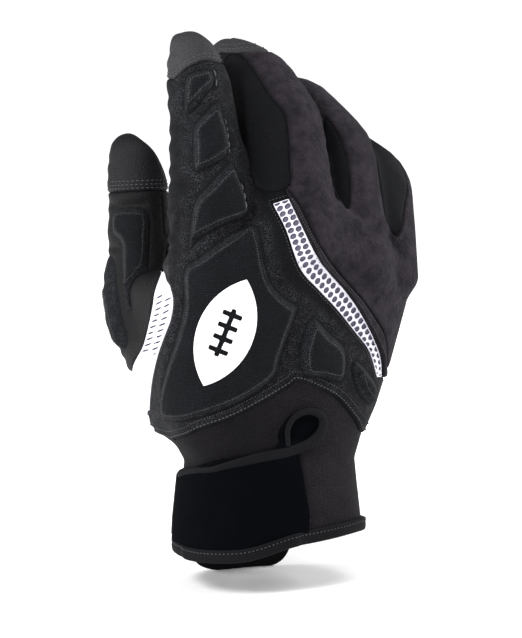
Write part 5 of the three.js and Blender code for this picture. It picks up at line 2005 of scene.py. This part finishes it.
# painted light: the floor glows by emission, dim near the glove and brighter from 90 to 420 mm away
from_glove = floor_finish.node("VectorMath", {"operation": "LENGTH"},
                               {0: floor_finish.millimetres()}, output="Value")
far_glow = floor_finish.smooth(from_glove, 90.0, 420.0)
floor_finish.feed("Emission Color",
                  floor_finish.blend(far_glow, (0.12, 0.12, 0.12, 1), (0.72, 0.72, 0.72, 1)))
print("finishes:", len(finishes))

# %% [markdown]
# Every piece gets one finish. The table also names a slot, a group of pieces of one material
# that one could recolour at once, such as all its leather, but the slot is read and not used.

# %% Which finish and slot each piece has
LOOKS = {
    "back_panel": ("back_knit", "knit"), "back_piping": ("finger_suede", "binding"),
    "back_mesh_strip": ("white_mesh", "mesh"), "thumb_mesh_strip": ("white_mesh", "mesh"),
    "mesh_backing": ("mesh_backing", "mesh"), "knuckle_panel": ("finger_suede", "suede"),
    "palm_panel": ("grip_leather", "leather"), "thumb_palm_panel": ("palm_leather", "leather"),
    "thumb_back_panel": ("palm_leather", "leather"), "thumb_tip": ("thumb_leather", "leather"),
    "index_fingertip_cap": ("cap_leather", "cap"),
    "middle_fingertip_cap": ("cap_leather", "cap"),
    **{name + "_side_panel": ("side_knit", "knit") for name in SIDE_PANELS},
    "wrist_cuff": ("cuff_knit", "neoprene"), "wrist_strap": ("strap_rubber", "neoprene"),
    "hem_binding": ("binding_tape", "binding"), "pull_tab": ("binding_tape", "binding"),
    "strap_edges": ("binding_tape", "binding"), "back_mark": ("mark_white", "mark"),
    "lining": ("lining_knit", "neoprene"), "stitches": ("thread", "binding")}
for name, piece in pieces.items():
    finish_name, slot_name = LOOKS.get(name, ("pad_knit", "pad"))
    piece.data.materials.append(finishes[finish_name])
print("pieces with a finish:", len(pieces))

# %% [markdown]
# ## Flat sizes
# Each cloth piece was cut flat before it was sewn. Its flat width and length are read along the
# formed piece, and its flat area is the formed area, because stretch cloth over a hand is only
# slightly larger than its cut. The lining is two like halves sewn along their edge, and its row
# gives one half. The pads hold thin foam, so they have no row.

SHEETS = {
    "back_panel": (110, 165, 7200), "back_piping": (10, 110, 770),
    "knuckle_panel": (125, 150, 11500), "palm_panel": (150, 210, 17000),
    "index_fingertip_cap": (45, 35, 1270), "middle_fingertip_cap": (48, 36, 1480),
    "index_side_panel": (10, 30, 133), "middle_side_panel": (40, 95, 2500),
    "ring_side_panel": (14, 70, 510), "little_side_panel": (18, 45, 550),
    "thumb_palm_panel": (75, 110, 5100), "thumb_back_panel": (50, 90, 2280),
    "thumb_tip": (62, 40, 2090), "wrist_cuff": (225, 75, 11800),
    "back_mesh_strip": (10, 105, 720), "thumb_mesh_strip": (24, 70, 1310),
    "mesh_backing": (30, 110, 2040), "wrist_strap": (115, 50, 4950),
    "pull_tab": (56, 27, 1220), "strap_edges": (10, 190, 600), "hem_binding": (10, 245, 2300),
    "lining": (220, 290, 31800)}
for name, (width, length, area) in SHEETS.items():
    held = "hung" if name == "pull_tab" else "stretched"
print("sheets:", len(SHEETS))

# %% [markdown]
# ## Camera, floor and light
# The picture was taken in a white studio from slightly above. A large soft lamp from the upper
# left shapes the pads, and weaker lamps above and at both sides draw a soft rim. The world is
# white for the camera and dimmer for the glove, so the floor fades into it and only a soft
# shadow stays under the hem.

# %% Camera
PICTURE_HEIGHT = 638
SENSOR = 36.0
camera = bpy.data.objects.new("camera", bpy.data.cameras.new("camera"))
bpy.context.scene.collection.objects.link(camera)
camera.location = Vector(EYE) * MM
camera.rotation_mode = "QUATERNION"
camera.rotation_quaternion = Matrix((RIGHT, UP, -SIGHT)).transposed().to_quaternion()
camera.data.sensor_width = SENSOR
camera.data.lens = SENSOR * PIXELS_PER_MM * VIEW_FAR / PICTURE_HEIGHT
camera.data.clip_end = 20
bpy.context.scene.camera = camera
print("lens:", round(camera.data.lens, 1), "mm")

# %% Floor
FLOOR = 5.0
FLOOR_GAP = 0.0003
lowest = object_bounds()[0].z - FLOOR_GAP
floor_mesh = bpy.data.meshes.new("studio_floor")
floor_mesh.from_pydata([(-FLOOR, -FLOOR, lowest), (FLOOR, -FLOOR, lowest),
                        (FLOOR, FLOOR, lowest), (-FLOOR, FLOOR, lowest)], [], [(0, 1, 2, 3)])
floor = bpy.data.objects.new("studio_floor", floor_mesh)
bpy.context.scene.collection.objects.link(floor)
floor_mesh.materials.append(finishes["pale_floor"])
print("floor at", round(lowest / MM, 1), "mm")

# %% World and lamps
world = bpy.data.worlds.new("studio_world")
world.use_nodes = True
# strength for the glove, and for the camera
AMBIENT, BACKDROP = 0.32, 1.05
studio = world.node_tree
rays = studio.nodes.new("ShaderNodeLightPath")
share = studio.nodes.new("ShaderNodeMapRange")
share.inputs["To Min"].default_value = AMBIENT
share.inputs["To Max"].default_value = BACKDROP
studio.links.new(rays.outputs["Is Camera Ray"], share.inputs["Value"])
studio.links.new(share.outputs["Result"], studio.nodes["Background"].inputs["Strength"])
studio.nodes["Background"].inputs["Color"].default_value = (1, 1, 1, 1)
bpy.context.scene.world = world
bpy.context.scene.view_settings.view_transform = "Standard"


def lamp(name, place, size, power, aim=(0.0, 0.0, 0.1)):
    """A square lamp that looks at the glove."""
    light = bpy.data.lights.new(name, "AREA")
    light.size = size
    light.energy = power
    thing = bpy.data.objects.new(name, light)
    thing.location = place
    thing.rotation_euler = (Vector(aim) - Vector(place)).to_track_quat("-Z", "Y").to_euler()
    bpy.context.scene.collection.objects.link(thing)
    print(name, power, "W")


lamp("key", (-0.95, -0.55, 0.9), 0.4, 18)
lamp("left rim", (-0.95, 0.35, 0.3), 0.45, 7)
lamp("right rim", (0.95, -0.15, 0.5), 0.45, 10)
lamp("top", (0.25, -0.5, 1.25), 0.6, 7)

# %% [markdown]
